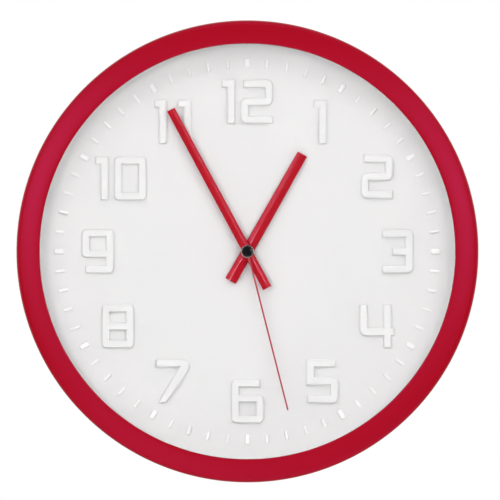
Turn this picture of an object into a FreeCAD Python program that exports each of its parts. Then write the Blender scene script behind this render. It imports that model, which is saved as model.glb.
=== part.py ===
import FreeCAD, Part
import Sketcher
import math
import os

# A round wall clock, 305 mm across: a case ring, a clear lens, a dial with raised numerals and
# marks, three hands, and a battery quartz movement that hangs behind the dial.
#
# Axes: the clock faces -Y, +X is to the right as it is read, +Z is up. The origin is the centre of
# the hanging keyhole on the wall plane y = 0, and the hands turn hang_drop below it. Depths in the
# sheet are distances out from the wall, so a depth d is the plane y = -d. Lengths are in mm.

SHEET_ROWS = (
    ("hang_drop", 96.0, "hanging keyhole down to the axis of the hands"),
    ("ring_radius", 152.5, "outer radius of the case ring at its front"),
    ("ring_back_radius", 151.2, "outer radius of the case ring at the wall"),
    ("ring_lip_radius", 137.1, "opening of the ring at the front"),
    ("ring_wall", 2.6, "thickness of the ring's outer wall"),
    ("ring_draft", 0.3, "how much thicker that wall is at the face"),
    ("ring_depth", 40.0, "wall to the inner edge of the ring's face"),
    ("ring_edge", 2.5, "width of the rounded outer edge"),
    ("ring_edge_drop", 4.3, "face's inner edge back to where the outer wall ends"),
    ("ring_edge_round", 3.4, "radius of the rounded outer edge"),
    ("ring_face_round", 80.0, "radius of the slightly crowned face"),
    ("ring_face_drop", 1.3, "how far the face slopes back to its outer edge"),
    ("ring_lip_round", 1.1, "radius of the rounded edge of the opening"),
    ("ring_skin", 3.1, "thickness of the ring's face"),
    ("seat_radius", 141.5, "inside of the wall that centres lens and dial"),
    ("seat_wall", 2.0, "thickness of that wall"),
    ("seat_back", 13.0, "depth where that wall ends and the retainer rests"),
    ("lens_radius", 141.0, "clear lens"),
    ("lens_back", 33.0, "depth of the lens's rear face"),
    ("lens_thick", 2.0, "thickness of the lens"),
    ("boss_circle", 146.0, "circle of the case screws"),
    ("boss_radius", 3.8, "case screw bosses"),
    ("boss_root", 0.2, "how far the bosses reach into the face"),
    ("case_screw_count", 6, "case screws"),
    ("pilot_radius", 1.1, "pilot holes of the self-tapping screws"),
    ("shank_radius", 1.05, "shank of the self-tapping screws"),
    ("clear_radius", 1.5, "clearance holes of the screws"),
    ("screw_head_radius", 2.4, "heads of the screws"),
    ("screw_head", 1.4, "height of the heads"),
    ("screw_length", 7.0, "length under the head"),
    ("dial_front", 19.0, "depth of the dial's face"),
    ("dial_thick", 2.5, "thickness of the dial"),
    ("dial_hole", 3.0, "hole for the hour tube"),
    ("rim_radius", 140.8, "outside of the dial, the lens spacer and the retainer"),
    ("rim_wall", 2.4, "thickness of the lens spacer"),
    ("flange_radius", 148.2, "outside of the retainer's flange, screwed to the ring"),
    ("flange_thick", 2.2, "thickness of that flange"),
    ("digit_height", 29.0, "height of the numerals"),
    ("digit_width", 21.4, "width of a digit"),
    ("digit_stroke", 5.3, "stroke of a digit"),
    ("digit_gap", 3.6, "gap between two digits"),
    ("eleven_gap", 7.4, "gap between the two digits of the eleven"),
    ("digit_flag", 3.4, "overhang of the flag of the one"),
    ("digit_raise", 2.6, "how far the numerals stand out"),
    ("digit_bevel", 0.7, "bevel of the numerals' front edges"),
    ("digit_round", 4.2, "outer corners of 2, 3, 4, 5 and 7"),
    ("digit_small_round", 3.0, "outer corners of 0, 6, 8 and 9"),
    ("digit_loop", 13.8, "height of the loop's bar above the foot of a six"),
    ("digit_bar", 4.9, "thickness of that bar"),
    ("numeral_circle", 99.0, "circle of the numerals' centres"),
    ("ten_inward", 2.4, "how much nearer the axis the wide ten stands"),
    ("one_aside", 1.3, "how far the one stands left, centred on its stem"),
    ("mark_inner", 121.3, "inner ends of the minute marks"),
    ("mark_length", 6.3, "length of the marks"),
    ("minute_mark_width", 1.7, "width of a minute mark"),
    ("hour_mark_width", 3.2, "width of an hour mark"),
    ("mark_raise", 1.5, "how far the marks stand out"),
    ("mark_bevel", 0.3, "bevel of the marks"),
    ("hour_tip", 73.9, "hour hand, axis to tip"),
    ("hour_tail", 22.6, "hour hand, axis to tail"),
    ("hour_tip_width", 7.0, "hour hand at its tip"),
    ("hour_tail_width", 7.9, "hour hand at its tail"),
    ("hour_depth", 22.0, "depth of the hour hand's rear face"),
    ("hour_angle", 29.5, "hour hand at rest, degrees past twelve"),
    ("minute_tip", 106.5, "minute hand, axis to tip"),
    ("minute_tail", 27.6, "minute hand, axis to tail"),
    ("minute_tip_width", 5.6, "minute hand at its tip"),
    ("minute_tail_width", 6.2, "minute hand at its tail"),
    ("minute_depth", 25.0, "depth of the minute hand's rear face"),
    ("minute_angle", 331.6, "minute hand at rest, degrees past twelve"),
    ("hand_edge", 0.5, "height of a hand's sides"),
    ("hand_ridge", 1.8, "no hand is thicker than this"),
    ("hour_arch", 6.6, "radius of the hour hand's arched face"),
    ("minute_arch", 4.5, "radius of the minute hand's arched face"),
    ("second_tip", 108.2, "second hand, axis to tip"),
    ("second_width", 1.2, "second hand"),
    ("second_tip_width", 1.0, "second hand at its tip"),
    ("second_depth", 28.0, "depth of the second hand's rear face"),
    ("second_thick", 0.4, "thickness of the second hand"),
    ("second_hub_radius", 3.0, "round hub of the second hand"),
    ("second_angle", 165.7, "second hand at rest, degrees past twelve"),
    ("cap_radius", 3.5, "black cap over the axis"),
    ("cap_height", 1.7, "height of the cap"),
    ("cap_rim_radius", 4.25, "bright washer under the cap"),
    ("cap_rim_thick", 0.4, "thickness of the washer"),
    ("fit_gap", 0.02, "radial gap of a pressed or clipped fit"),
    ("run_gap", 0.08, "radial gap of a running fit"),
    ("second_arbor_radius", 0.45, "arbor of the second hand"),
    ("second_arbor_front", 28.9, "depth of its front end"),
    ("minute_tube_radius", 1.6, "tube of the minute hand"),
    ("minute_tube_front", 26.5, "depth of its front end"),
    ("hour_tube_radius", 2.5, "tube of the hour hand"),
    ("hour_tube_front", 23.5, "depth of its front end"),
    ("arbor_radius", 0.5, "arbors of the wheels"),
    ("movement_half_width", 28.0, "movement, axis to either side"),
    ("movement_top", 27.8, "movement, axis to top"),
    ("movement_bottom", 29.2, "movement, axis to bottom"),
    ("movement_back", 2.1, "depth of the movement case's rear edge"),
    ("movement_wall", 1.2, "walls of the movement case"),
    ("movement_plate", 1.4, "front plate of the movement case"),
    ("bay_top", 13.0, "battery bay's upper side, below the axis"),
    ("partition", 1.0, "wall between battery bay and wheels"),
    ("ear_reach", 35.0, "fixing ears, axis to end"),
    ("ear_hole", 31.6, "fixing ears, axis to hole"),
    ("ear_half_height", 3.6, "half the height of an ear"),
    ("ear_back", 9.6, "depth of an ear's rear face"),
    ("ear_thick", 2.0, "thickness of an ear"),
    ("cover_thick", 1.2, "rear cover of the movement"),
    ("knob_radius", 4.8, "setting knob"),
    ("knob_hole", 5.2, "hole in the cover round the knob"),
    ("bridge_back", 3.4, "depth of the bridge's rear face"),
    ("bridge_thick", 1.0, "plate that carries the rear pivots"),
    ("post_radius", 1.5, "posts under the bridge"),
    ("battery_radius", 7.25, "AA cell over its sleeve"),
    ("battery_length", 50.5, "AA cell with its nub"),
    ("battery_drop", 20.5, "axis of the cell below the axis of the hands"),
    ("battery_depth", 7.8, "depth of the cell's axis"),
    ("plate_half_width", 28.0, "hanger plate, half its width"),
    ("plate_top", 17.0, "hanger plate above the keyhole's centre"),
    ("plate_bottom", 9.0, "hanger plate below the keyhole's centre"),
    ("plate_thick", 1.2, "hanger plate"),
    ("key_radius", 4.5, "entry of the keyhole"),
    ("key_slot", 2.25, "half the width of the keyhole's slot"),
    ("key_rise", 9.0, "centre of the entry to the slot's end"),
    ("plate_screw", 21.0, "screws of the hanger plate, either side"),
    ("plate_boss_radius", 4.0, "bosses under the hanger plate"),
)

PRESSURE_ANGLE = math.radians(20.0)
TOOTH_PLAY = 0.05
ADDENDUM = 0.90
DEDENDUM = 1.25

# module, teeth and profile shift of every toothed part of the train
ROTOR_PINION = (0.22, 10, 0.40)
INTERMEDIATE_WHEEL = (0.22, 60, -0.40)
INTERMEDIATE_PINION = (0.25, 12, 0.30)
SECOND_WHEEL = (0.25, 60, -0.30)
SECOND_PINION = (0.25, 8, 0.50)
THIRD_WHEEL = (0.25, 64, -0.50)
THIRD_PINION = (18.0 / 68.0, 8, 0.50)
CENTRE_WHEEL = (18.0 / 68.0, 60, -0.50)
MINUTE_PINION = (0.40, 12, 0.30)
MOTION_WHEEL = (0.40, 36, -0.30)
MOTION_PINION = (0.384, 10, 0.40)
HOUR_WHEEL = (0.384, 40, -0.40)
SETTING_PINION = (0.40, 12, 0.30)

# depth from the wall where each toothed rim, hub or magnet begins and ends
SECOND_RIM, SECOND_LEAVES, SECOND_HUB = (7.0, 7.8), (7.7, 9.9), (6.6, 7.9)
INTERMEDIATE_RIM, INTERMEDIATE_LEAVES, INTERMEDIATE_HUB = (5.4, 6.2), (6.1, 8.0), (4.7, 5.5)
ROTOR_LEAVES, ROTOR_HUB, MAGNET = (5.1, 6.5), (6.4, 10.6), (7.8, 10.2)
THIRD_RIM, THIRD_LEAVES, THIRD_HUB = (8.9, 9.7), (9.6, 11.7), (8.2, 9.0)
CENTRE_RIM = (10.4, 11.4)
MINUTE_LEAVES, MINUTE_HUB, MINUTE_TUBE_BACK = (11.9, 13.2), (10.2, 12.0), 11.8
MOTION_RIM, MOTION_LEAVES, MOTION_HUB = (12.1, 13.1), (13.0, 14.8), (11.4, 12.2)
HOUR_RIM = (13.6, 14.8)
SETTING_LEAVES, SETTING_SHAFT, KNOB = (11.9, 13.3), (2.0, 12.0), (0.5, 2.3)

# radii of the hubs and of the magnet, and how deep a front pivot enters the case's plate
SECOND_HUB_RADIUS, SMALL_HUB_RADIUS, WHEEL_HUB_RADIUS, ROTOR_HUB_RADIUS = 1.6, 1.0, 1.2, 0.9
MAGNET_RADIUS = 2.5
PIVOT_DEPTH = 0.85
KNOB_GRIPS, KNOB_GRIP_RADIUS = 18, 0.5

# lightening holes of the wheels: how many, on what circle, with what radius
SECOND_HOLES, INTERMEDIATE_HOLES = (5, 4.6, 1.5), (5, 4.0, 1.2)
THIRD_HOLES, CENTRE_HOLES, MOTION_HOLES = (5, 5.0, 1.6), (5, 4.9, 1.5), (4, 4.6, 1.4)

# directions between meshing axes, in degrees past twelve as the clock is read
TO_THIRD = -75.0
TO_INTERMEDIATE = -8.0
TO_ROTOR = -8.0
TO_MOTION = 50.0
TO_SETTING = 80.0


class Size:
    """A dimension: its value, and the sheet expression that drives it."""

    def __init__(self, value, text):
        self.value = value
        self.text = text

    def __add__(self, other):
        other = as_size(other)
        return Size(self.value + other.value, "(%s + %s)" % (self.text, other.text))

    def __sub__(self, other):
        other = as_size(other)
        return Size(self.value - other.value, "(%s - %s)" % (self.text, other.text))

    def __mul__(self, number):
        return Size(self.value * number, "(%s * %.9g)" % (self.text, number))

    def __neg__(self):
        return Size(-self.value, "(0 - %s)" % self.text)


def as_size(item):
    """Turns a bare number into a Size."""
    return item if isinstance(item, Size) else Size(float(item), "%.9g" % item)


class Dimensions:
    """Every row of the sheet as an attribute."""


def write_sheet(doc):
    """Writes the driving dimensions and returns them as sizes."""
    sheet = doc.addObject("Spreadsheet::Sheet", "dims")
    sizes = Dimensions()
    for number, (alias, value, note) in enumerate(SHEET_ROWS, start=1):
        sheet.set("A%d" % number, alias)
        sheet.set("B%d" % number, "%.9g" % value)
        sheet.set("C%d" % number, note)
        sheet.setAlias("B%d" % number, alias)
        setattr(sizes, alias, Size(float(value), "dims.%s" % alias))
    doc.recompute()
    return sizes


# ---- sketches and features -------------------------------------------------------------------


def origin_part(body, role):
    """One of the body's own origin planes or axes."""
    return next(item for item in body.Origin.OriginFeatures if item.Role == role)


def new_body(doc, label, drop, turn=0.0):
    """A body whose origin is the axis of the hands, turned clockwise by turn degrees."""
    body = doc.addObject("PartDesign::Body", label)
    body.Label = label
    body.AllowCompound = True
    spin = FreeCAD.Rotation(FreeCAD.Vector(0, 1, 0), turn)
    body.Placement = FreeCAD.Placement(FreeCAD.Vector(0, 0, -drop.value), spin)
    body.setExpression("Placement.Base.z", (-drop).text)
    return body


def new_sketch(body, name, role, depth=None, shift=None, spin=0.0):
    """A sketch on an origin plane; on XZ_Plane depth moves it out from the wall."""
    sketch = body.newObject("Sketcher::SketchObject", name)
    sketch.AttachmentSupport = [(origin_part(body, role), "")]
    sketch.MapMode = "FlatFace"
    turned = FreeCAD.Rotation(FreeCAD.Vector(0, 0, 1), spin)
    sketch.AttachmentOffset = FreeCAD.Placement(FreeCAD.Vector(0, 0, 0), turned)
    if depth is not None:
        sketch.setExpression("AttachmentOffset.Base.z", as_size(depth).text)
    if shift is not None:
        sketch.setExpression("AttachmentOffset.Base.x", as_size(shift).text)
    return sketch


def hold(sketch, kind, item, vertex, size):
    """Dimensions one coordinate of a vertex from the sketch's origin."""
    size = as_size(size)
    number = sketch.addConstraint(Sketcher.Constraint(kind, -1, 1, item, vertex, size.value))
    if "dims" in size.text:
        sketch.setExpression("Constraints[%d]" % number, size.text)


def add_radius(sketch, item, radius):
    """Dimensions the radius of an arc or a circle."""
    radius = as_size(radius)
    number = sketch.addConstraint(Sketcher.Constraint("Radius", item, radius.value))
    if "dims" in radius.text:
        sketch.setExpression("Constraints[%d]" % number, radius.text)


def arc_between(start, end, radius, side):
    """The short arc from start to end; side +1 puts its centre left of the chord, -1 right."""
    chord = end - start
    half = chord.Length / 2
    rise = math.sqrt(radius * radius - half * half) * side
    across = FreeCAD.Vector(-chord.y, chord.x, 0).normalize()
    centre = (start + end) * 0.5 + across * rise
    first = math.atan2(start.y - centre.y, start.x - centre.x)
    last = math.atan2(end.y - centre.y, end.x - centre.x)
    circle = Part.Circle(centre, FreeCAD.Vector(0, 0, 1), radius)
    if side > 0:
        return Part.ArcOfCircle(circle, first, last), 1, 2
    return Part.ArcOfCircle(circle, last, first), 2, 1


def draw_outline(sketch, points):
    """A closed outline. A point may carry (radius, side), and then an arc leaves it."""
    first = sketch.GeometryCount
    count = len(points)
    corners = [FreeCAD.Vector(as_size(p[0]).value, as_size(p[1]).value, 0) for p in points]
    ends = []
    for i, point in enumerate(points):
        start, end = corners[i], corners[(i + 1) % count]
        if len(point) > 2:
            curve, start_vertex, end_vertex = arc_between(start, end, point[2].value, point[3])
            sketch.addGeometry(curve, False)
            ends.append((start_vertex, end_vertex))
        else:
            sketch.addGeometry(Part.LineSegment(start, end), False)
            ends.append((1, 2))
    for i in range(count):
        after = (i + 1) % count
        joint = Sketcher.Constraint("Coincident", first + i, ends[i][1], first + after, ends[after][0])
        sketch.addConstraint(joint)
    for i, point in enumerate(points):
        hold(sketch, "DistanceX", first + i, ends[i][0], point[0])
        hold(sketch, "DistanceY", first + i, ends[i][0], point[1])
        if len(point) > 2:
            add_radius(sketch, first + i, point[2])


def draw_box(sketch, left, low, right, high):
    """A rectangle from its lower left to its upper right corner."""
    draw_outline(sketch, [(left, low), (right, low), (right, high), (left, high)])


def draw_circle(sketch, x, y, radius):
    """A circle held by its centre and its radius."""
    centre = FreeCAD.Vector(as_size(x).value, as_size(y).value, 0)
    circle = Part.Circle(centre, FreeCAD.Vector(0, 0, 1), as_size(radius).value)
    item = sketch.addGeometry(circle, False)
    hold(sketch, "DistanceX", item, 3, x)
    hold(sketch, "DistanceY", item, 3, y)
    add_radius(sketch, item, radius)


def revolve(body, name, sketch, axis="V_Axis"):
    """A full revolution of a sketch about one of its own axes."""
    feature = body.newObject("PartDesign::Revolution", name)
    feature.Profile = sketch
    feature.ReferenceAxis = (sketch, [axis])
    feature.Angle = 360
    return feature


def pad(body, name, sketch, length):
    """Pads a sketch towards the front."""
    feature = body.newObject("PartDesign::Pad", name)
    feature.Profile = sketch
    feature.Length = as_size(length).value
    if "dims" in as_size(length).text:
        feature.setExpression("Length", length.text)
    return feature


def pocket(body, name, sketch, length):
    """Cuts a sketch towards the wall."""
    feature = body.newObject("PartDesign::Pocket", name)
    feature.Profile = sketch
    feature.Length = as_size(length).value
    if "dims" in as_size(length).text:
        feature.setExpression("Length", length.text)
    return feature


def repeat_round(body, name, originals, count):
    """Repeats features evenly about the axis of the hands."""
    feature = body.newObject("PartDesign::PolarPattern", name)
    feature.Originals = originals
    feature.Axis = (origin_part(body, "Y_Axis"), [""])
    feature.Angle = 360
    feature.Occurrences = int(as_size(count).value)
    if "dims" in as_size(count).text:
        feature.setExpression("Occurrences", count.text)
    body.Tip = feature
    return feature


def edges_where(shape, test):
    """Names of the edges that pass a test."""
    return ["Edge%d" % (i + 1) for i, edge in enumerate(shape.Edges) if test(edge)]


def lies_at_depth(depth):
    """A test for edges in the plane at that depth."""
    def test(edge):
        box = edge.BoundBox
        return abs(box.YMin + depth) < 1e-6 and abs(box.YMax + depth) < 1e-6
    return test


def stands_at(corners):
    """A test for edges along Y that pass through one of the corners."""
    def test(edge):
        box = edge.BoundBox
        upright = box.XLength < 1e-6 and box.ZLength < 1e-6
        return upright and any(math.hypot(box.XMin - x, box.ZMin - z) < 1e-4 for x, z in corners)
    return test


def dress(body, kind, name, edges, size):
    """A fillet or a chamfer on named edges of the body's last feature."""
    base = body.Tip
    feature = body.newObject("PartDesign::" + kind, name)
    feature.Base = (base, edges)
    key = "Radius" if kind == "Fillet" else "Size"
    setattr(feature, key, size.value)
    feature.setExpression(key, size.text)
    return feature


# ---- case ------------------------------------------------------------------------------------


def make_case_ring(doc, d):
    """Moulded red ring: outer wall, crowned face, lens seat and six screw bosses."""
    body = new_body(doc, "case_ring", d.hang_drop)
    sketch = new_sketch(body, "ring_section", "XY_Plane")
    lens_front = d.lens_back + d.lens_thick
    edge_depth = d.ring_depth - d.ring_edge_drop
    face_depth = d.ring_depth - d.ring_face_drop
    lip_depth = d.ring_depth - d.ring_lip_round
    skin_depth = d.ring_depth - d.ring_skin
    seat_outer = d.seat_radius + d.seat_wall
    draw_outline(sketch, [
        (d.ring_back_radius - d.ring_wall, 0),
        (d.ring_back_radius, 0),
        (d.ring_radius, -edge_depth, d.ring_edge_round, -1),
        (d.ring_radius - d.ring_edge, -face_depth, d.ring_face_round, -1),
        (d.ring_lip_radius + d.ring_lip_round, -d.ring_depth, d.ring_lip_round, -1),
        (d.ring_lip_radius, -lip_depth),
        (d.ring_lip_radius, -lens_front),
        (d.seat_radius, -lens_front),
        (d.seat_radius, -d.seat_back),
        (seat_outer, -d.seat_back),
        (seat_outer, -skin_depth),
        (d.ring_radius - d.ring_wall - d.ring_draft, -skin_depth),
    ])
    revolve(body, "ring_turned", sketch)
    bosses = new_sketch(body, "ring_boss", "XZ_Plane", d.seat_back)
    draw_circle(bosses, d.boss_circle, 0, d.boss_radius)
    draw_circle(bosses, d.boss_circle, 0, d.pilot_radius)
    boss = pad(body, "ring_boss_pad", bosses, skin_depth - d.seat_back + d.boss_root)
    doc.recompute()
    repeat_round(body, "ring_bosses", [boss], d.case_screw_count)
    return body


def make_lens(doc, d):
    """Flat clear lens."""
    body = new_body(doc, "lens", d.hang_drop)
    sketch = new_sketch(body, "lens_outline", "XZ_Plane", d.lens_back)
    draw_circle(sketch, 0, 0, d.lens_radius)
    pad(body, "lens_disc", sketch, d.lens_thick)
    return body


def make_dial(doc, d):
    """White dial disc with four bosses on its back."""
    body = new_body(doc, "dial", d.hang_drop)
    sketch = new_sketch(body, "dial_outline", "XZ_Plane", d.dial_front - d.dial_thick)
    draw_circle(sketch, 0, 0, d.rim_radius)
    draw_circle(sketch, 0, 0, d.dial_hole)
    pad(body, "dial_disc", sketch, d.dial_thick)
    add_dial_bosses(body, d, "ear_boss", d.ear_hole, as_size(0), d.ear_back + d.ear_thick, 3.2)
    add_dial_bosses(body, d, "plate_boss", d.plate_screw, d.hang_drop, d.plate_thick,
                    d.plate_boss_radius)
    return body


def make_lens_spacer(doc, d):
    """White collar that keeps the lens off the dial and forms the wall of the well."""
    body = new_body(doc, "lens_spacer", d.hang_drop)
    sketch = new_sketch(body, "spacer_section", "XY_Plane")
    inside = d.rim_radius - d.rim_wall
    draw_outline(sketch, [
        (inside, -d.dial_front), (d.rim_radius, -d.dial_front), (d.rim_radius, -d.lens_back),
        (inside + 0.4, -d.lens_back),
    ])
    revolve(body, "spacer_turned", sketch)
    return body


def make_dial_retainer(doc, d):
    """Ring behind the dial that is screwed to the case and clamps dial, spacer and lens."""
    body = new_body(doc, "dial_retainer", d.hang_drop)
    sketch = new_sketch(body, "retainer_section", "XY_Plane")
    back = d.dial_front - d.dial_thick
    flange_back = d.seat_back - d.flange_thick
    inside = d.rim_radius - d.rim_wall * 1.5
    draw_outline(sketch, [
        (inside, -back), (inside, -flange_back), (d.flange_radius, -flange_back),
        (d.flange_radius, -d.seat_back), (d.rim_radius, -d.seat_back), (d.rim_radius, -back),
    ])
    revolve(body, "retainer_turned", sketch)
    holes = new_sketch(body, "flange_hole", "XZ_Plane", d.seat_back)
    draw_circle(holes, d.boss_circle, 0, d.clear_radius)
    hole = pocket(body, "flange_hole_cut", holes, d.flange_thick)
    doc.recompute()
    repeat_round(body, "flange_holes", [hole], d.case_screw_count)
    return body


def add_dial_bosses(body, d, name, across, up, depth, radius):
    """Two bosses with pilot holes, left and right, from a depth up to the back of the dial."""
    sketch = new_sketch(body, name, "XZ_Plane", depth)
    for side in (-1, 1):
        draw_circle(sketch, across * side, up, radius)
        draw_circle(sketch, across * side, up, d.pilot_radius)
    back = d.dial_front - d.dial_thick
    pad(body, name + "_pad", sketch, back - depth + 0.1)


def draw_screw(sketch, d, seat, head, length):
    """Half section of a pan-head screw whose head rests at the seat's depth."""
    draw_outline(sketch, [
        (0, -(seat - head)),
        (d.screw_head_radius - 0.5, -(seat - head)),
        (d.screw_head_radius, -(seat - head + 0.5)),
        (d.screw_head_radius, -seat),
        (d.shank_radius, -seat),
        (d.shank_radius, -(seat + length - 0.8)),
        (0.3, -(seat + length)),
        (0, -(seat + length)),
    ])


def add_cross_slot(body, d, name, across, depth):
    """Cross recess in a screw head."""
    sketch = new_sketch(body, name, "XZ_Plane", depth + 0.8)
    arm, half = 1.3, 0.3
    draw_outline(sketch, [
        (across - arm, -half), (across - half, -half), (across - half, -arm), (across + half, -arm),
        (across + half, -half), (across + arm, -half), (across + arm, half), (across + half, half),
        (across + half, arm), (across - half, arm), (across - half, half), (across - arm, half),
    ])
    return pocket(body, name + "_cut", sketch, 1.5)


def make_case_screws(doc, d):
    """Six self-tapping screws that hold the retainer in the ring."""
    body = new_body(doc, "case_screws", d.hang_drop)
    seat = d.seat_back - d.flange_thick
    sketch = new_sketch(body, "screw_section", "XY_Plane", shift=d.boss_circle)
    draw_screw(sketch, d, seat, d.screw_head, d.screw_length)
    screw = revolve(body, "screw_turned", sketch)
    slot = add_cross_slot(body, d, "screw_slot", d.boss_circle, seat - d.screw_head)
    doc.recompute()
    repeat_round(body, "screws", [screw, slot], d.case_screw_count)
    return body


def make_movement_screws(doc, d):
    """Two screws through the ears of the movement case."""
    body = new_body(doc, "movement_screws", d.hang_drop)
    sketch = new_sketch(body, "screw_section", "XY_Plane", shift=d.ear_hole)
    draw_screw(sketch, d, d.ear_back, d.screw_head, d.screw_length - 1)
    screw = revolve(body, "screw_turned", sketch)
    slot = add_cross_slot(body, d, "screw_slot", d.ear_hole, d.ear_back - d.screw_head)
    doc.recompute()
    repeat_round(body, "screws", [screw, slot], 2)
    return body


# ---- hanger ----------------------------------------------------------------------------------


def make_hanger_plate(doc, d):
    """Stamped steel plate with the keyhole and two countersunk screw holes."""
    body = new_body(doc, "hanger_plate", as_size(0))
    sketch = new_sketch(body, "plate_outline", "XZ_Plane", 0)
    draw_box(sketch, -d.plate_half_width, -d.plate_bottom, d.plate_half_width, d.plate_top)
    for side in (-1, 1):
        draw_circle(sketch, d.plate_screw * side, 0, d.clear_radius)
    pad(body, "plate_blank", sketch, d.plate_thick)
    key = new_sketch(body, "keyhole", "XZ_Plane", d.plate_thick)
    waist = math.sqrt(d.key_radius.value ** 2 - d.key_slot.value ** 2)
    circle = Part.Circle(FreeCAD.Vector(0, 0, 0), FreeCAD.Vector(0, 0, 1), d.key_radius.value)
    turn = math.atan2(waist, d.key_slot.value)
    key.addGeometry(Part.ArcOfCircle(circle, math.pi - turn, 2 * math.pi + turn), False)
    key.addConstraint(Sketcher.Constraint("Coincident", 0, 3, -1, 1))
    add_radius(key, 0, d.key_radius)
    top = Part.Circle(FreeCAD.Vector(0, d.key_rise.value, 0), FreeCAD.Vector(0, 0, 1),
                      d.key_slot.value)
    key.addGeometry(Part.ArcOfCircle(top, 0, math.pi), False)
    hold(key, "DistanceX", 1, 3, 0)
    hold(key, "DistanceY", 1, 3, d.key_rise)
    add_radius(key, 1, d.key_slot)
    for side, low_end, high_end in ((1, 2, 1), (-1, 1, 2)):
        low = FreeCAD.Vector(side * d.key_slot.value, waist, 0)
        high = FreeCAD.Vector(side * d.key_slot.value, d.key_rise.value, 0)
        line = key.addGeometry(Part.LineSegment(low, high), False)
        key.addConstraint(Sketcher.Constraint("Coincident", line, 1, 0, low_end))
        key.addConstraint(Sketcher.Constraint("Coincident", line, 2, 1, high_end))
        hold(key, "DistanceX", line, 1, d.key_slot * side)
        hold(key, "DistanceY", line, 2, d.key_rise)
    pocket(body, "keyhole_cut", key, d.plate_thick)
    doc.recompute()
    corners = [(sx * d.plate_half_width.value, z) for sx in (-1, 1)
               for z in (-d.plate_bottom.value, d.plate_top.value)]
    upright = edges_where(body.Shape, stands_at(corners))
    dress(body, "Fillet", "plate_corners", upright, d.screw_head_radius)
    doc.recompute()
    holes = edges_where(body.Shape, is_screw_hole(d))
    dress(body, "Chamfer", "plate_countersinks", holes, d.plate_thick - 0.1)
    return body


def is_screw_hole(d):
    """A test for the rear edges of the hanger plate's screw holes."""
    def test(edge):
        box = edge.BoundBox
        at_back = abs(box.YMin) < 1e-6 and abs(box.YMax) < 1e-6
        return at_back and abs(box.XLength - 2 * d.clear_radius.value) < 1e-3
    return test


def make_hanger_screws(doc, d):
    """Two countersunk screws, flush with the back of the hanger plate."""
    body = new_body(doc, "hanger_screws", as_size(0))
    for side in (-1, 1):
        name = "screw_%s" % ("left" if side < 0 else "right")
        sketch = new_sketch(body, name, "XY_Plane", shift=d.plate_screw * side)
        wide = d.clear_radius + d.plate_thick - 0.2
        draw_outline(sketch, [
            (0, -0.05),
            (wide, -0.05),
            (d.clear_radius - 0.1, -(d.plate_thick - 0.1)),
            (d.shank_radius, -d.plate_thick),
            (d.shank_radius, -(d.plate_thick + d.screw_length)),
            (0, -(d.plate_thick + d.screw_length + 0.6)),
        ])
        revolve(body, name + "_turned", sketch)
        add_cross_slot(body, d, name + "_slot", d.plate_screw * side, as_size(0))
    return body


# ---- numerals and marks ----------------------------------------------------------------------


# how single strokes of the digits depart from the common frame, in mm
BAR_SHORT, FIVE_SHORT, TAIL_SHORT = 0.8, 1.9, 2.4
FOUR_STEM_IN, FOUR_OVERHANG = 0.3, 1.9
SEVEN_WIDER, SEVEN_FOOT, SEVEN_NECK = 0.8, 1.6, 0.4
# the same as shares of the stroke's width or of the digit's height
TWO_TIP, THREE_WAIST, CROSSBAR_HEIGHT = 0.34, 1.4, 0.28


def digit_forms(d):
    """Width, outline, windows and rounded corners of each digit, from its lower left corner."""
    w, h, s = d.digit_width, d.digit_height, d.digit_stroke
    inner = w - s
    low = (h - s) * 0.5
    high = (h + s) * 0.5
    loop_low = d.digit_loop
    loop_high = d.digit_loop + d.digit_bar
    frame = [(0, 0), (w, 0), (w, h), (0, h)]
    stem = d.digit_flag
    foot = h * CROSSBAR_HEIGHT
    cross = foot + s
    left, right = inner - FOUR_STEM_IN, w - FOUR_STEM_IN
    tip, five_tip, six_tip = w + FOUR_OVERHANG, w - FIVE_SHORT, w - TAIL_SHORT
    seven = w + SEVEN_WIDER
    return {
        "0": (w, frame, [(s, s, inner, h - s)], frame),
        "1": (stem + s, [(stem, 0), (stem + s, 0), (stem + s, h), (0, h), (0, h - s),
                         (stem, h - s)],
              [], []),
        "2": (w, [(0, 0), (w - FOUR_STEM_IN, 0), (w - FOUR_STEM_IN, s), (s, s), (s, low),
                  (w, low), (w, h), (s * TWO_TIP, h), (s * TWO_TIP, h - s), (inner, h - s),
                  (inner, high), (0, high)],
              [], [(0, 0), (w, low), (w, h), (0, high)]),
        "3": (w, [(BAR_SHORT, 0), (w, 0), (w, h), (BAR_SHORT, h), (BAR_SHORT, h - s),
                  (inner, h - s), (inner, high), (s * THREE_WAIST, high), (s * THREE_WAIST, low),
                  (inner, low), (inner, s), (BAR_SHORT, s)],
              [], [(w, 0), (w, h)]),
        "4": (tip, [(left, 0), (right, 0), (right, foot), (tip, foot), (tip, cross),
                    (right, cross), (right, h), (left, h), (left, cross), (s, cross), (s, h),
                    (0, h), (0, foot), (left, foot)],
              [], [(0, foot)]),
        "5": (w, [(BAR_SHORT, 0), (w, 0), (w, high), (s, high), (s, h - s), (five_tip, h - s),
                  (five_tip, h), (0, h), (0, low), (inner, low), (inner, s), (BAR_SHORT, s)],
              [], [(w, 0), (w, high)]),
        "6": (w, [(0, 0), (w, 0), (w, loop_high), (s, loop_high), (s, h - s), (six_tip, h - s),
                  (six_tip, h), (0, h)],
              [(s, d.digit_bar, inner, loop_low)], [(0, 0), (w, 0), (w, loop_high), (0, h)]),
        "7": (seven, [(SEVEN_FOOT, 0), (s + SEVEN_FOOT, 0), (seven, h - s - SEVEN_FOOT),
                      (seven, h), (0, h), (0, h - s), (inner - SEVEN_NECK, h - s)],
              [], [(seven, h)]),
        "8": (w, frame, [(s, s, inner, low), (s, high, inner, h - s)], frame),
        "9": (w, [(TAIL_SHORT, 0), (w, 0), (w, h), (0, h), (0, h - loop_high),
                  (inner, h - loop_high), (inner, s), (TAIL_SHORT, s)],
              [(s, h - loop_low, inner, h - d.digit_bar)],
              [(w, 0), (w, h), (0, h), (0, h - loop_high)]),
    }


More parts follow.
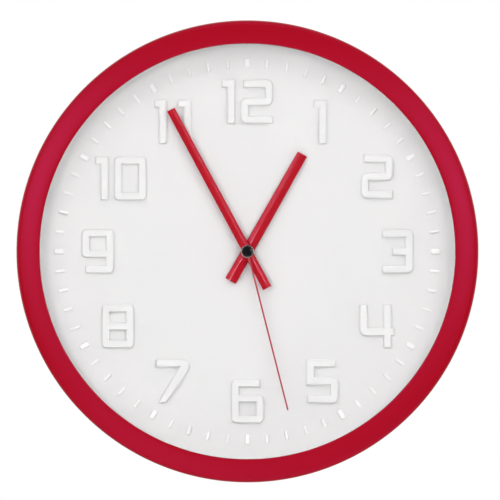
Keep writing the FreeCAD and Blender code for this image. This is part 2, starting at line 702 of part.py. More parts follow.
def make_numeral(doc, d, hour):
    """One raised numeral, upright, centred on the numeral circle; two digits are two solids."""
    turn = math.radians(30.0 * hour)
    body = new_body(doc, "numeral_%02d" % hour, d.hang_drop)
    circle = d.numeral_circle - d.ten_inward if hour == 10 else d.numeral_circle
    gap = d.eleven_gap if hour == 11 else d.digit_gap
    body.setExpression("Placement.Base.x", (circle * math.sin(turn)).text)
    body.setExpression("Placement.Base.z", (circle * math.cos(turn) - d.hang_drop).text)
    forms = digit_forms(d)
    digits = [forms[character] for character in str(hour)]
    total = as_size(digits[0][0])
    for form in digits[1:]:
        total = total + gap + form[0]
    sketch = new_sketch(body, "outlines", "XZ_Plane", d.dial_front)
    left = -(total * 0.5) - d.one_aside if hour == 1 else -(total * 0.5)
    foot = -(d.digit_height * 0.5)
    rounded = []
    for width, outline, windows, corners in digits:
        draw_outline(sketch, [(left + x, foot + z) for x, z in outline])
        for x0, z0, x1, z1 in windows:
            draw_box(sketch, left + x0, foot + z0, left + x1, foot + z1)
        rounded += [((left + x).value, (foot + z).value) for x, z in corners]
        left = left + width + gap
    pad(body, "raised", sketch, d.digit_raise)
    doc.recompute()
    if rounded:
        large = str(hour)[-1] in "23457"
        edges = edges_where(body.Shape, stands_at_local(body, rounded))
        dress(body, "Fillet", "corners", edges, d.digit_round if large else d.digit_small_round)
        doc.recompute()
    front = d.dial_front.value + d.digit_raise.value
    edges = edges_where(body.Tip.Shape, lies_at_depth(front))
    dress(body, "Chamfer", "front_bevel", edges, d.digit_bevel)
    return body


def stands_at_local(body, corners):
    """The same test as stands_at, for corners given in the body's own coordinates."""
    base = body.Placement.Base
    return stands_at([(base.x + x, base.z + z) for x, z in corners])


def add_mark(body, d, name, width, spin):
    """One radial bar on the mark circle, turned clockwise by spin degrees."""
    sketch = new_sketch(body, name, "XZ_Plane", d.dial_front, spin=-spin)
    draw_box(sketch, width * -0.5, d.mark_inner, width * 0.5, d.mark_inner + d.mark_length)
    return pad(body, name + "_pad", sketch, d.mark_raise)


def make_marks(doc, d, label, width, spins):
    """Marks at the given angles, repeated at each of the twelve hours."""
    body = new_body(doc, label, d.hang_drop)
    pads = [add_mark(body, d, "mark_%d" % spin, width, spin) for spin in spins]
    doc.recompute()
    repeat_round(body, "marks", pads, 12)
    doc.recompute()
    front = d.dial_front.value + d.mark_raise.value
    edges = edges_where(body.Shape, lies_at_depth(front))
    dress(body, "Chamfer", "front_bevel", edges, d.mark_bevel)
    return body


# ---- hands -----------------------------------------------------------------------------------


def hand_section(body, d, name, along, width, depth, arch):
    """Cross-section of an arched hand at a distance along it."""
    sketch = new_sketch(body, name, "XY_Plane", along)
    half = width * 0.5
    draw_outline(sketch, [
        (-half, -depth), (half, -depth), (half, -(depth + d.hand_edge), arch, -1),
        (-half, -(depth + d.hand_edge)),
    ])
    return sketch


def make_hand(doc, d, label, tip, tail, tip_width, tail_width, depth, arch, bore, turn):
    """A tapering hand with an arched face, bored for its tube."""
    body = new_body(doc, label, d.hang_drop, turn)
    first = hand_section(body, d, "tail_section", -tail, tail_width, depth, arch)
    last = hand_section(body, d, "tip_section", tip, tip_width, depth, arch)
    blade = body.newObject("PartDesign::AdditiveLoft", "blade")
    blade.Profile = first
    blade.Sections = [last]
    blade.Ruled = True
    hole = new_sketch(body, "bore", "XZ_Plane", depth + d.hand_ridge + 0.1)
    draw_circle(hole, 0, 0, bore)
    pocket(body, "bore_cut", hole, d.hand_ridge + 0.2)
    return body


def make_second_hand(doc, d):
    """Thin straight strip with a round hub."""
    body = new_body(doc, "second_hand", d.hang_drop, d.second_angle.value)
    sketch = new_sketch(body, "strip", "XZ_Plane", d.second_depth)
    root = d.second_hub_radius - 0.3
    draw_outline(sketch, [
        (d.second_width * -0.5, root), (d.second_width * 0.5, root),
        (d.second_tip_width * 0.5, d.second_tip), (d.second_tip_width * -0.5, d.second_tip),
    ])
    pad(body, "strip_pad", sketch, d.second_thick)
    hub = new_sketch(body, "hub", "XZ_Plane", d.second_depth)
    draw_circle(hub, 0, 0, d.second_hub_radius)
    pad(body, "hub_pad", hub, d.second_thick)
    hole = new_sketch(body, "bore", "XZ_Plane", d.second_depth + d.second_thick + 0.1)
    draw_circle(hole, 0, 0, as_size(1.0) + d.fit_gap)
    pocket(body, "bore_cut", hole, d.second_thick + 0.2)
    return body


def make_second_tube(doc, d):
    """Brass tube that carries the second hand and is pushed onto its arbor."""
    body = new_body(doc, "second_hand_tube", d.hang_drop)
    sketch = new_sketch(body, "tube", "XY_Plane")
    inside = d.second_arbor_radius + d.fit_gap
    front = d.second_depth + d.second_thick
    draw_outline(sketch, [
        (inside, -(d.second_depth - 1.1)), (1.5, -(d.second_depth - 1.1)), (1.5, -d.second_depth),
        (1.0, -d.second_depth), (1.0, -front), (inside, -front),
    ])
    revolve(body, "tube_turned", sketch)
    return body


def make_cap(doc, d):
    """Domed black cap."""
    body = new_body(doc, "second_hand_cap", d.hang_drop)
    base = d.second_depth + d.second_thick + d.cap_rim_thick
    sketch = new_sketch(body, "cap_section", "XY_Plane")
    draw_outline(sketch, [
        (0, -base),
        (d.cap_radius, -base),
        (d.cap_radius, -(base + 0.7)),
        (d.cap_radius - 0.9, -(base + d.cap_height - 0.25), Size(9.0, "9.0"), -1),
        (0, -(base + d.cap_height)),
    ])
    revolve(body, "cap_turned", sketch)
    return body


def make_cap_rim(doc, d):
    """Bright washer that shows as a thin line round the cap."""
    body = new_body(doc, "cap_rim", d.hang_drop)
    sketch = new_sketch(body, "washer", "XZ_Plane", d.second_depth + d.second_thick)
    draw_circle(sketch, 0, 0, d.cap_rim_radius)
    draw_circle(sketch, 0, 0, d.second_arbor_radius + d.fit_gap)
    pad(body, "washer_pad", sketch, d.cap_rim_thick)
    return body


# ---- movement case ---------------------------------------------------------------------------


def make_movement_case(doc, d, axes):
    """Black moulded tub: wheel chamber, battery bay, bearings, posts and two fixing ears."""
    body = new_body(doc, "movement_case", d.hang_drop)
    front = d.dial_front - d.dial_thick
    wide, wall = d.movement_half_width, d.movement_wall
    sketch = new_sketch(body, "tub", "XZ_Plane", d.movement_back)
    draw_box(sketch, -wide, -d.movement_bottom, wide, d.movement_top)
    pad(body, "tub_pad", sketch, front - d.movement_back)
    inner = front - d.movement_plate
    depth = inner - d.movement_back
    room = new_sketch(body, "chambers", "XZ_Plane", inner)
    draw_box(room, -(wide - wall), -(d.bay_top - d.partition), wide - wall, d.movement_top - wall)
    draw_box(room, -(wide - wall), -(d.movement_bottom - wall), wide - wall, -d.bay_top)
    pocket(body, "chambers_cut", room, depth)
    ears = new_sketch(body, "ears", "XZ_Plane", d.ear_back)
    for side in (-1, 1):
        near, far = (wide - 0.4) * side, d.ear_reach * side
        left, right = (near, far) if side > 0 else (far, near)
        draw_box(ears, left, -d.ear_half_height, right, d.ear_half_height)
        draw_circle(ears, d.ear_hole * side, 0, d.clear_radius)
    pad(body, "ears_pad", ears, d.ear_thick)
    posts = new_sketch(body, "posts", "XZ_Plane", d.bridge_back + d.bridge_thick)
    for x, z in POSTS:
        draw_circle(posts, x, z, d.post_radius)
        draw_circle(posts, x, z, 0.65)
    pad(body, "posts_pad", posts, inner - d.bridge_back - d.bridge_thick + 0.1)
    hole = new_sketch(body, "hour_tube_hole", "XZ_Plane", front)
    draw_circle(hole, 0, 0, d.hour_tube_radius + d.run_gap)
    pocket(body, "hour_tube_cut", hole, d.movement_plate)
    pivots = new_sketch(body, "front_pivots", "XZ_Plane", inner + 1.0)
    for name in ("third", "intermediate", "rotor", "motion", "setting"):
        draw_circle(pivots, axes[name][0], axes[name][1], d.arbor_radius + d.run_gap)
    pocket(body, "front_pivots_cut", pivots, 1.0)
    return body


POSTS = ((-15.2, -9.4), (12.0, -9.4), (22.0, 15.6), (-15.2, 10.6))


def make_movement_cover(doc, d, axes):
    """Rear cover over the wheels, with the hole for the setting knob."""
    body = new_body(doc, "movement_cover", d.hang_drop)
    back = d.movement_back - d.cover_thick
    sketch = new_sketch(body, "cover", "XZ_Plane", back)
    wide = d.movement_half_width
    draw_box(sketch, -wide, -(d.bay_top - 0.1), wide, d.movement_top)
    draw_circle(sketch, axes["setting"][0], axes["setting"][1], d.knob_hole)
    pad(body, "cover_pad", sketch, d.cover_thick)
    lip = new_sketch(body, "lip", "XZ_Plane", d.movement_back)
    edge = wide - d.movement_wall - 0.15
    low = -(d.bay_top - d.partition - 0.15)
    high = d.movement_top - d.movement_wall - 0.15
    draw_box(lip, -edge, low, edge, high)
    draw_box(lip, -(edge - 0.9), low + 0.9, edge - 0.9, high - 0.9)
    pad(body, "lip_pad", lip, 0.9)
    return body


def make_bridge(doc, d, axes):
    """Plate that carries the rear pivots of the train."""
    body = new_body(doc, "gear_bridge", d.hang_drop)
    sketch = new_sketch(body, "bridge", "XZ_Plane", d.bridge_back)
    draw_outline(sketch, [(-16.9, -11), (13.8, -11), (24, -2), (24, 18.4), (-16.9, 18.4)])
    for name in ("third", "intermediate", "rotor", "motion"):
        draw_circle(sketch, axes[name][0], axes[name][1], d.arbor_radius + d.run_gap)
    draw_circle(sketch, 0, 0, d.second_arbor_radius + d.run_gap)
    draw_circle(sketch, axes["setting"][0], axes["setting"][1], as_size(1.0) + d.run_gap)
    for x, z in POSTS:
        draw_circle(sketch, x, z, 0.9)
    pad(body, "bridge_pad", sketch, d.bridge_thick)
    return body


def make_bridge_screws(doc, d):
    """Four small screws that hold the bridge on its posts."""
    body = new_body(doc, "bridge_screws", d.hang_drop)
    heads = new_sketch(body, "heads", "XZ_Plane", d.bridge_back - 0.7)
    shanks = new_sketch(body, "shanks", "XZ_Plane", d.bridge_back - 0.1)
    for x, z in POSTS:
        draw_circle(heads, x, z, 1.4)
        draw_circle(shanks, x, z, 0.6)
    pad(body, "heads_pad", heads, 0.7)
    pad(body, "shanks_pad", shanks, 5.0)
    return body


# ---- train -----------------------------------------------------------------------------------


def half_tooth(gear, radius):
    """Half the angle that a tooth covers at a radius, with the play taken off."""
    module, teeth, shift = gear
    pitch = module * teeth / 2
    base = pitch * math.cos(PRESSURE_ANGLE)
    thick = module * (math.pi / 2 + 2 * shift * math.tan(PRESSURE_ANGLE)) - TOOTH_PLAY
    involute = math.tan(PRESSURE_ANGLE) - PRESSURE_ANGLE
    press = math.acos(min(1.0, base / radius))
    return thick / (2 * pitch) + involute - (math.tan(press) - press)


def gear_disc(gear, low, high, phase):
    """A toothed disc between two depths; a tooth points phase degrees past twelve."""
    module, teeth, shift = gear
    pitch = module * teeth / 2
    base = pitch * math.cos(PRESSURE_ANGLE)
    tip = pitch + module * (ADDENDUM + shift)
    root = pitch - module * (DEDENDUM - shift)
    start = max(base, root)
    middle = (start + tip) / 2

    def at(radius, angle):
        return FreeCAD.Vector(radius * math.sin(angle), -low, radius * math.cos(angle))

    edges = []
    step = 2 * math.pi / teeth
    for number in range(teeth):
        centre = math.radians(phase) + number * step
        wide = half_tooth(gear, start)
        flank = half_tooth(gear, middle)
        thin = half_tooth(gear, tip)
        if root < start:
            edges.append(Part.makeLine(at(root, centre - wide), at(start, centre - wide)))
        edges.append(Part.Arc(at(start, centre - wide), at(middle, centre - flank),
                              at(tip, centre - thin)).toShape())
        edges.append(Part.Arc(at(tip, centre - thin), at(tip, centre),
                              at(tip, centre + thin)).toShape())
        edges.append(Part.Arc(at(tip, centre + thin), at(middle, centre + flank),
                              at(start, centre + wide)).toShape())
        if root < start:
            edges.append(Part.makeLine(at(start, centre + wide), at(root, centre + wide)))
        edges.append(Part.Arc(at(root, centre + wide), at(root, centre + step / 2),
                              at(root, centre + step - wide)).toShape())
    face = Part.Face(Part.Wire(edges))
    return face.extrude(FreeCAD.Vector(0, low - high, 0))


def rod(radius, low, high):
    """A round bar along the axis between two depths."""
    return Part.makeCylinder(radius, high - low, FreeCAD.Vector(0, -low, 0), FreeCAD.Vector(0, -1, 0))


def spoke_holes(count, circle, radius, low, high):
    """Round lightening holes through a wheel."""
    holes = []
    for number in range(count):
        turn = 2 * math.pi * number / count
        hole = rod(radius, low - 1, high + 1)
        hole.translate(FreeCAD.Vector(circle * math.sin(turn), 0, circle * math.cos(turn)))
        holes.append(hole)
    return Part.makeCompound(holes)


def add_feature(doc, d, label, shape, spot=(0.0, 0.0)):
    """A piece made of Part shapes, set at its own axis."""
    feature = doc.addObject("Part::Feature", label)
    feature.Label = label
    feature.Shape = shape.removeSplitter()
    feature.Placement = FreeCAD.Placement(FreeCAD.Vector(spot[0], 0, spot[1] - d.hang_drop.value),
                                          FreeCAD.Rotation())
    return feature


def step_from(spot, gear, mate, angle):
    """The next axis of the train, at the two gears' centre distance in a direction."""
    reach = gear[0] * (gear[1] + mate[1]) / 2
    turn = math.radians(angle)
    return (spot[0] + reach * math.sin(turn), spot[1] + reach * math.cos(turn))


def mesh_phase(angle, phase, teeth, mate_teeth):
    """Phase of a gear that meshes with one of a known phase, seen from it at an angle."""
    return angle + 180.0 - (phase - angle) * teeth / mate_teeth + 180.0 / mate_teeth


def train_axes():
    """Where every axis of the train stands, from the axis of the hands."""
    centre = (0.0, 0.0)
    intermediate = step_from(centre, SECOND_WHEEL, INTERMEDIATE_PINION, TO_INTERMEDIATE)
    motion = step_from(centre, MINUTE_PINION, MOTION_WHEEL, TO_MOTION)
    return {
        "centre": centre,
        "third": step_from(centre, SECOND_PINION, THIRD_WHEEL, TO_THIRD),
        "intermediate": intermediate,
        "rotor": step_from(intermediate, INTERMEDIATE_WHEEL, ROTOR_PINION, TO_ROTOR),
        "motion": motion,
        "setting": step_from(motion, MOTION_WHEEL, SETTING_PINION, TO_SETTING),
    }


def pierced_wheel(gear, rim, holes, phase):
    """Toothed wheel with its ring of lightening holes."""
    return gear_disc(gear, *rim, phase).cut(spoke_holes(*holes, *rim))


def front_pivot(d):
    """Depth where the pivots end in the front plate of the movement case."""
    return (d.dial_front - d.dial_thick - d.movement_plate).value + PIVOT_DEPTH


def make_second_train(doc, d, axes):
    """Rotor, intermediate wheel, second wheel and arbor, third wheel, centre wheel."""
    back = d.bridge_back.value
    arbor = d.arbor_radius.value
    second = d.second_arbor_radius.value
    fit, run = d.fit_gap.value, d.run_gap.value
    pin = rod(arbor, back, front_pivot(d))

    shape = pierced_wheel(SECOND_WHEEL, SECOND_RIM, SECOND_HOLES, 0)
    shape = shape.fuse(gear_disc(SECOND_PINION, *SECOND_LEAVES, 0))
    shape = shape.fuse(rod(SECOND_HUB_RADIUS, *SECOND_HUB))
    bore = rod(second + fit, SECOND_HUB[0] - 1, SECOND_LEAVES[1] + 1)
    add_feature(doc, d, "second_wheel", shape.cut(bore))
    add_feature(doc, d, "second_arbor", rod(second, back, d.second_arbor_front.value - 0.1))

    phase = mesh_phase(TO_INTERMEDIATE, 0, SECOND_WHEEL[1], INTERMEDIATE_PINION[1])
    shape = gear_disc(INTERMEDIATE_PINION, *INTERMEDIATE_LEAVES, phase)
    shape = shape.fuse(pierced_wheel(INTERMEDIATE_WHEEL, INTERMEDIATE_RIM, INTERMEDIATE_HOLES, 0))
    shape = shape.fuse(pin).fuse(rod(SMALL_HUB_RADIUS, *INTERMEDIATE_HUB))
    add_feature(doc, d, "intermediate_wheel", shape, axes["intermediate"])

    phase = mesh_phase(TO_ROTOR, 0, INTERMEDIATE_WHEEL[1], ROTOR_PINION[1])
    shape = gear_disc(ROTOR_PINION, *ROTOR_LEAVES, phase)
    shape = shape.fuse(rod(ROTOR_HUB_RADIUS, *ROTOR_HUB)).fuse(pin)
    add_feature(doc, d, "rotor_pinion", shape, axes["rotor"])
    magnet = rod(MAGNET_RADIUS, *MAGNET).cut(rod(ROTOR_HUB_RADIUS + fit, *ROTOR_HUB))
    add_feature(doc, d, "rotor_magnet", magnet, axes["rotor"])

    phase = mesh_phase(TO_THIRD, 0, SECOND_PINION[1], THIRD_WHEEL[1])
    shape = pierced_wheel(THIRD_WHEEL, THIRD_RIM, THIRD_HOLES, phase)
    shape = shape.fuse(gear_disc(THIRD_PINION, *THIRD_LEAVES, 0))
    shape = shape.fuse(pin).fuse(rod(WHEEL_HUB_RADIUS, *THIRD_HUB))
    add_feature(doc, d, "third_wheel", shape, axes["third"])

    phase = mesh_phase(TO_THIRD + 180, 0, THIRD_PINION[1], CENTRE_WHEEL[1])
    shape = pierced_wheel(CENTRE_WHEEL, CENTRE_RIM, CENTRE_HOLES, phase)
    bore = rod(WHEEL_HUB_RADIUS + run, CENTRE_RIM[0] - 1, CENTRE_RIM[1] + 1)
    add_feature(doc, d, "centre_wheel", shape.cut(bore))


def make_motion_work(doc, d, axes):
    """Minute tube, motion wheel, hour wheel and setting knob."""
    arbor = d.arbor_radius.value
    run = d.run_gap.value
    minute_radius = d.minute_tube_radius.value
    minute_front = d.minute_tube_front.value
    hour_front = d.hour_tube_front.value

    shape = gear_disc(MINUTE_PINION, *MINUTE_LEAVES, 0)
    shape = shape.fuse(rod(minute_radius, MINUTE_TUBE_BACK, minute_front))
    shape = shape.fuse(rod(WHEEL_HUB_RADIUS, *MINUTE_HUB))
    bore = rod(d.second_arbor_radius.value + run, MINUTE_HUB[0] - 1, minute_front + 1)
    add_feature(doc, d, "minute_tube", shape.cut(bore))

    phase = mesh_phase(TO_MOTION, 0, MINUTE_PINION[1], MOTION_WHEEL[1])
    shape = pierced_wheel(MOTION_WHEEL, MOTION_RIM, MOTION_HOLES, phase)
    shape = shape.fuse(gear_disc(MOTION_PINION, *MOTION_LEAVES, 0))
    shape = shape.fuse(rod(arbor, d.bridge_back.value, front_pivot(d)))
    shape = shape.fuse(rod(WHEEL_HUB_RADIUS, *MOTION_HUB))
    add_feature(doc, d, "motion_wheel", shape, axes["motion"])

    hour_phase = mesh_phase(TO_MOTION + 180, 0, MOTION_PINION[1], HOUR_WHEEL[1])
    shape = gear_disc(HOUR_WHEEL, *HOUR_RIM, hour_phase)
    shape = shape.fuse(rod(d.hour_tube_radius.value, HOUR_RIM[0], hour_front))
    bore = rod(minute_radius + run, HOUR_RIM[0] - 1, hour_front + 1)
    add_feature(doc, d, "hour_wheel", shape.cut(bore))

    phase = mesh_phase(TO_SETTING, phase, MOTION_WHEEL[1], SETTING_PINION[1])
    shape = gear_disc(SETTING_PINION, *SETTING_LEAVES, phase)
    shape = shape.fuse(rod(SMALL_HUB_RADIUS, *SETTING_SHAFT))
    shape = shape.fuse(rod(arbor, SETTING_LEAVES[1] - 0.3, front_pivot(d)))
    knob_radius = d.knob_radius.value
    grips = spoke_holes(KNOB_GRIPS, knob_radius + KNOB_GRIP_RADIUS / 2, KNOB_GRIP_RADIUS, *KNOB)
    add_feature(doc, d, "setting_knob", shape.fuse(rod(knob_radius, *KNOB).cut(grips)),
                axes["setting"])


# ---- motor, board and battery ----------------------------------------------------------------


STATOR_LEFT, STATOR_RIGHT, STATOR_TOP = -20.0, 14.0, 25.0
STATOR_BACK, STATOR_THICK, STATOR_LEG = 8.5, 0.9, 3.6
STATOR_BELOW, STATOR_ABOVE, ROTOR_HOLE = 3.7, 3.1, 2.9
CORE_FOOT, CORE_HEIGHT = 21.7, 3.0
COIL_AXIS = (-15.6, -8.05, 23.2)
COIL_LENGTH, CHEEK, CHEEK_RADIUS = 25.2, 0.8, 3.2
BOBBIN_RADIUS, BOBBIN_BORE, WINDING_RADIUS = 2.0, 1.65, 3.0


def make_stator(doc, d, axes):
    """Soft-iron plate round the rotor, with two legs up to the coil's core."""
    body = new_body(doc, "stator", d.hang_drop)
    x, z = axes["rotor"]
    left_leg, right_leg = STATOR_LEFT + STATOR_LEG, STATOR_RIGHT - STATOR_LEG
    low, high = z - STATOR_BELOW, z + STATOR_ABOVE
    sketch = new_sketch(body, "lamination", "XZ_Plane", STATOR_BACK)
    draw_outline(sketch, [
        (STATOR_LEFT, low), (STATOR_RIGHT, low), (STATOR_RIGHT, STATOR_TOP),
        (right_leg, STATOR_TOP), (right_leg, high), (left_leg, high), (left_leg, STATOR_TOP),
        (STATOR_LEFT, STATOR_TOP),
    ])
    draw_circle(sketch, x, z, ROTOR_HOLE)
    pad(body, "lamination_pad", sketch, STATOR_THICK)
    return body


def make_coil(doc, d):
    """Core, bobbin and winding, lying level behind the stator's legs."""
    core = doc.addObject("Part::Box", "coil_core")
    core.Label = "coil_core"
    core.Length, core.Width, core.Height = STATOR_RIGHT - STATOR_LEFT, STATOR_THICK, CORE_HEIGHT
    core.Placement.Base = FreeCAD.Vector(STATOR_LEFT, -STATOR_BACK, CORE_FOOT)
    core.setExpression("Placement.Base.z", (as_size(CORE_FOOT) - d.hang_drop).text)
    middle = FreeCAD.Vector(*COIL_AXIS)
    along = FreeCAD.Vector(1, 0, 0)

    def tube(outer, inner, start, length):
        base = middle + along * start
        return Part.makeCylinder(outer, length, base, along).cut(
            Part.makeCylinder(inner, length, base, along))

    bobbin = tube(BOBBIN_RADIUS, BOBBIN_BORE, 0, COIL_LENGTH)
    for start in (0, COIL_LENGTH - CHEEK):
        bobbin = bobbin.fuse(tube(CHEEK_RADIUS, BOBBIN_BORE, start, CHEEK))
    add_feature(doc, d, "coil_bobbin", bobbin)
    wound = CHEEK + 0.05
    add_feature(doc, d, "coil_winding", tube(WINDING_RADIUS, BOBBIN_RADIUS + d.fit_gap.value,
                                             wound, COIL_LENGTH - 2 * wound))


BOARD_SIZE, BOARD_CORNER, BOARD_BACK = (8.4, 1.0, 22.0), (-26.1, -6.0, -10.4), -5.0
CHIP_BALL, CHIP_CENTRE = 4.0, (-21.6, -8.3, 5.0)
CAN_RADIUS, CAN_LENGTH, CAN_FOOT = 1.0, 6.0, (-21.8, -4.0, -7.6)


def make_board(doc, d):
    """Circuit board with its chip and quartz crystal."""
    board = doc.addObject("Part::Box", "circuit_board")
    board.Label = "circuit_board"
    board.Length, board.Width, board.Height = BOARD_SIZE
    board.Placement.Base = FreeCAD.Vector(*BOARD_CORNER)
    board.setExpression("Placement.Base.z", (as_size(BOARD_CORNER[2]) - d.hang_drop).text)
    ball = Part.makeSphere(CHIP_BALL, FreeCAD.Vector(*CHIP_CENTRE))
    reach = 2 * CHIP_BALL
    above = FreeCAD.Vector(CHIP_CENTRE[0] - CHIP_BALL, BOARD_BACK, CHIP_CENTRE[2] - CHIP_BALL)
    add_feature(doc, d, "chip", ball.common(Part.makeBox(reach, reach, reach, above)))
    can = Part.makeCylinder(CAN_RADIUS, CAN_LENGTH, FreeCAD.Vector(*CAN_FOOT),
                            FreeCAD.Vector(0, 0, 1))
    add_feature(doc, d, "quartz_crystal", can)


def make_battery(doc, d):
    """AA cell lying level in its bay, with a printed sleeve."""
    can_radius = d.battery_radius.value - 0.2
    start = FreeCAD.Vector(26.4, -d.battery_depth.value, -d.battery_drop.value)
    back = FreeCAD.Vector(-1, 0, 0)
    nub = Part.makeCylinder(2.6, 1.2, start, back)
    can = Part.makeCylinder(can_radius, d.battery_length.value - 1.0, start + back * 1.0, back)
    add_feature(doc, d, "battery", can.fuse(nub))
    sleeve = Part.makeCylinder(d.battery_radius.value, 47.5, start + back * 2.0, back)
    inside = Part.makeCylinder(can_radius + d.fit_gap.value, 47.5, start + back * 2.0, back)
    add_feature(doc, d, "battery_sleeve", sleeve.cut(inside))


def make_contacts(doc, d):
    """Sprung strip contacts at the two ends of the battery bay."""
    wide = d.movement_half_width - d.movement_wall
    for label, side in (("battery_contact_plus", 1), ("battery_contact_minus", -1)):
        body = new_body(doc, label, d.hang_drop)
        sketch = new_sketch(body, "strip", "XY_Plane", -d.battery_drop - 4.0)
        outer = (wide - 0.02) * side
        inner = (wide - 0.32) * side
        if side > 0:
            points = [(outer, -3.4), (outer, -13.6), (inner, -13.6), (inner, -3.4)]
        else:
            crest = -(wide - 2.63)
            points = [(outer, -3.4), (inner, -3.4), (inner, -13.0), (crest - 0.3, -8.0),
                      (crest - 0.3, -5.0), (crest, -5.0), (crest, -8.1), (inner + 0.1, -13.6),
                      (outer, -13.6)]
        draw_outline(sketch, points)
        pad(body, "strip_pad", sketch, 8.0)


# ---- build -----------------------------------------------------------------------------------


def build(doc):
    """Makes every piece and returns the objects to write, one file each."""
    d = write_sheet(doc)
    axes = train_axes()
    make_case_ring(doc, d)
    make_lens(doc, d)
    make_dial(doc, d)
    make_lens_spacer(doc, d)
    make_dial_retainer(doc, d)
    make_case_screws(doc, d)
    for hour in range(1, 13):
        make_numeral(doc, d, hour)
    make_marks(doc, d, "hour_marks", d.hour_mark_width, (0,))
    make_marks(doc, d, "minute_marks", d.minute_mark_width, (6, 12, 18, 24))
    make_hand(doc, d, "hour_hand", d.hour_tip, d.hour_tail, d.hour_tip_width, d.hour_tail_width,
              d.hour_depth, d.hour_arch, d.hour_tube_radius + d.fit_gap, d.hour_angle.value)
    make_hand(doc, d, "minute_hand", d.minute_tip, d.minute_tail, d.minute_tip_width,
              d.minute_tail_width, d.minute_depth, d.minute_arch,
              d.minute_tube_radius + d.fit_gap, d.minute_angle.value)
    make_second_hand(doc, d)
    make_second_tube(doc, d)
    make_cap_rim(doc, d)
    make_cap(doc, d)
    make_hanger_plate(doc, d)
    make_hanger_screws(doc, d)
    make_movement_case(doc, d, axes)
    make_movement_screws(doc, d)
    make_movement_cover(doc, d, axes)
    make_bridge(doc, d, axes)
    make_bridge_screws(doc, d)
    make_second_train(doc, d, axes)
    make_motion_work(doc, d, axes)
    make_stator(doc, d, axes)
    make_coil(doc, d)
    make_board(doc, d)
    make_battery(doc, d)
    make_contacts(doc, d)
    doc.recompute()
    kinds = ("PartDesign::Body", "Part::Feature", "Part::Box")
    return [item for item in doc.Objects if item.TypeId in kinds]


def check_and_write(doc, pieces):
    """Stops at any object that failed, then writes one STEP file per piece."""
    for item in doc.Objects:
        if "Invalid" in item.State or "Error" in item.State:
            raise RuntimeError("%s failed: %s" % (item.Name, item.State))
    os.makedirs("parts", exist_ok=True)
    for piece in pieces:
        shape = piece.Shape
        if shape.isNull() or not shape.isValid() or not shape.Solids:
            raise RuntimeError("%s has no valid solid" % piece.Label)
        shape.exportStep("parts/%s.step" % piece.Label)
        box = shape.BoundBox
        print("%-24s solids %2d  faces %4d  x %.1f..%.1f  y %.2f..%.2f  z %.1f..%.1f" % (
            piece.Label, len(shape.Solids), len(shape.Faces), box.XMin, box.XMax, box.YMin,
            box.YMax, box.ZMin, box.ZMax))


document = FreeCAD.newDocument("wall_clock")
check_and_write(document, build(document))
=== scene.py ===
import math
import bmesh
import bpy
from mathutils import Matrix, Vector


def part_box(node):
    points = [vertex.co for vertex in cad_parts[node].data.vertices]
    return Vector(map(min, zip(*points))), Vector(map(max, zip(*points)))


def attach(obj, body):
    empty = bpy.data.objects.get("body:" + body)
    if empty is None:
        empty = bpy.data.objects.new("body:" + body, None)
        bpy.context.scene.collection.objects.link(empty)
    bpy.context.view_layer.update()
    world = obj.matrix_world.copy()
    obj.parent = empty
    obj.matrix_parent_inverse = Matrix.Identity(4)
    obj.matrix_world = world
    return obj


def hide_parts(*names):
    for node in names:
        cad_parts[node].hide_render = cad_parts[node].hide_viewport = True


# A red wall clock, 305 mm across, put together from the case ring inwards and then backwards to
# the wall. Metres; the clock faces -Y and +Z is up.
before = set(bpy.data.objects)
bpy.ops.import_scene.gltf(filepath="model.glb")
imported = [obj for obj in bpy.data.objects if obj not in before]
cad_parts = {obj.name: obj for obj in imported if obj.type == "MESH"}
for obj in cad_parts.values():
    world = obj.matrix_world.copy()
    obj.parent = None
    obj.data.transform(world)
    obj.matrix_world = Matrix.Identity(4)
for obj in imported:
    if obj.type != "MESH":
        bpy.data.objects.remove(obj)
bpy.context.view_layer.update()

# ----------------------------------------------------------
# Case ring: one injection moulding in red ABS with a satin face. It carries every other piece:
# the lens and the dial drop into its back, and six screws run up into the bosses inside it.
MM = 0.001
ring_low, ring_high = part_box("case_ring")
axis_x = (ring_low.x + ring_high.x) / 2
axis_z = (ring_low.z + ring_high.z) / 2
ring_radius = (ring_high.x - ring_low.x) / 2 / MM
ring_depth = -ring_low.y / MM
ring_lip_radius = 137.1
ring_red = (0.450, 0.0018, 0.0064)


def rounded(corners):
    """Closed outline through (x, y, radius) corners, each rounded by its radius."""
    steps = 5
    points = []
    count = len(corners)
    for i, (x, y, radius) in enumerate(corners):
        here = Vector((x, y))
        before = Vector(corners[i - 1][:2])
        after = Vector(corners[(i + 1) % count][:2])
        if radius <= 0:
            points.append(here)
            continue
        inward = (before - here).normalized()
        onward = (after - here).normalized()
        half = inward.angle(onward) / 2
        reach = radius / math.tan(half)
        centre = here + (inward + onward).normalized() * radius / math.sin(half)
        start = here + inward * reach - centre
        turn = start.angle_signed(here + onward * reach - centre)
        for k in range(steps + 1):
            points.append(centre + Matrix.Rotation(-turn * k / steps, 2) @ start)
    return points


def new_tree(name, sizes):
    """Geometry Nodes tree with a geometry in and out and the named sizes as inputs."""
    tree = bpy.data.node_groups.new(name, "GeometryNodeTree")
    tree.interface.new_socket("Geometry", in_out="INPUT", socket_type="NodeSocketGeometry")
    for label, kind in sizes:
        tree.interface.new_socket(label, in_out="INPUT", socket_type=kind)
    tree.interface.new_socket("Geometry", in_out="OUTPUT", socket_type="NodeSocketGeometry")
    return tree


def add_node(tree, kind, links=None, **settings):
    """Node of that kind with its settings, and its inputs linked or set by name or number."""
    node = tree.nodes.new(kind)
    for label, value in settings.items():
        setattr(node, label, value)
    for socket, value in (links or {}).items():
        if isinstance(value, bpy.types.NodeSocket):
            tree.links.new(value, node.inputs[socket])
        else:
            node.inputs[socket].default_value = value
    return node


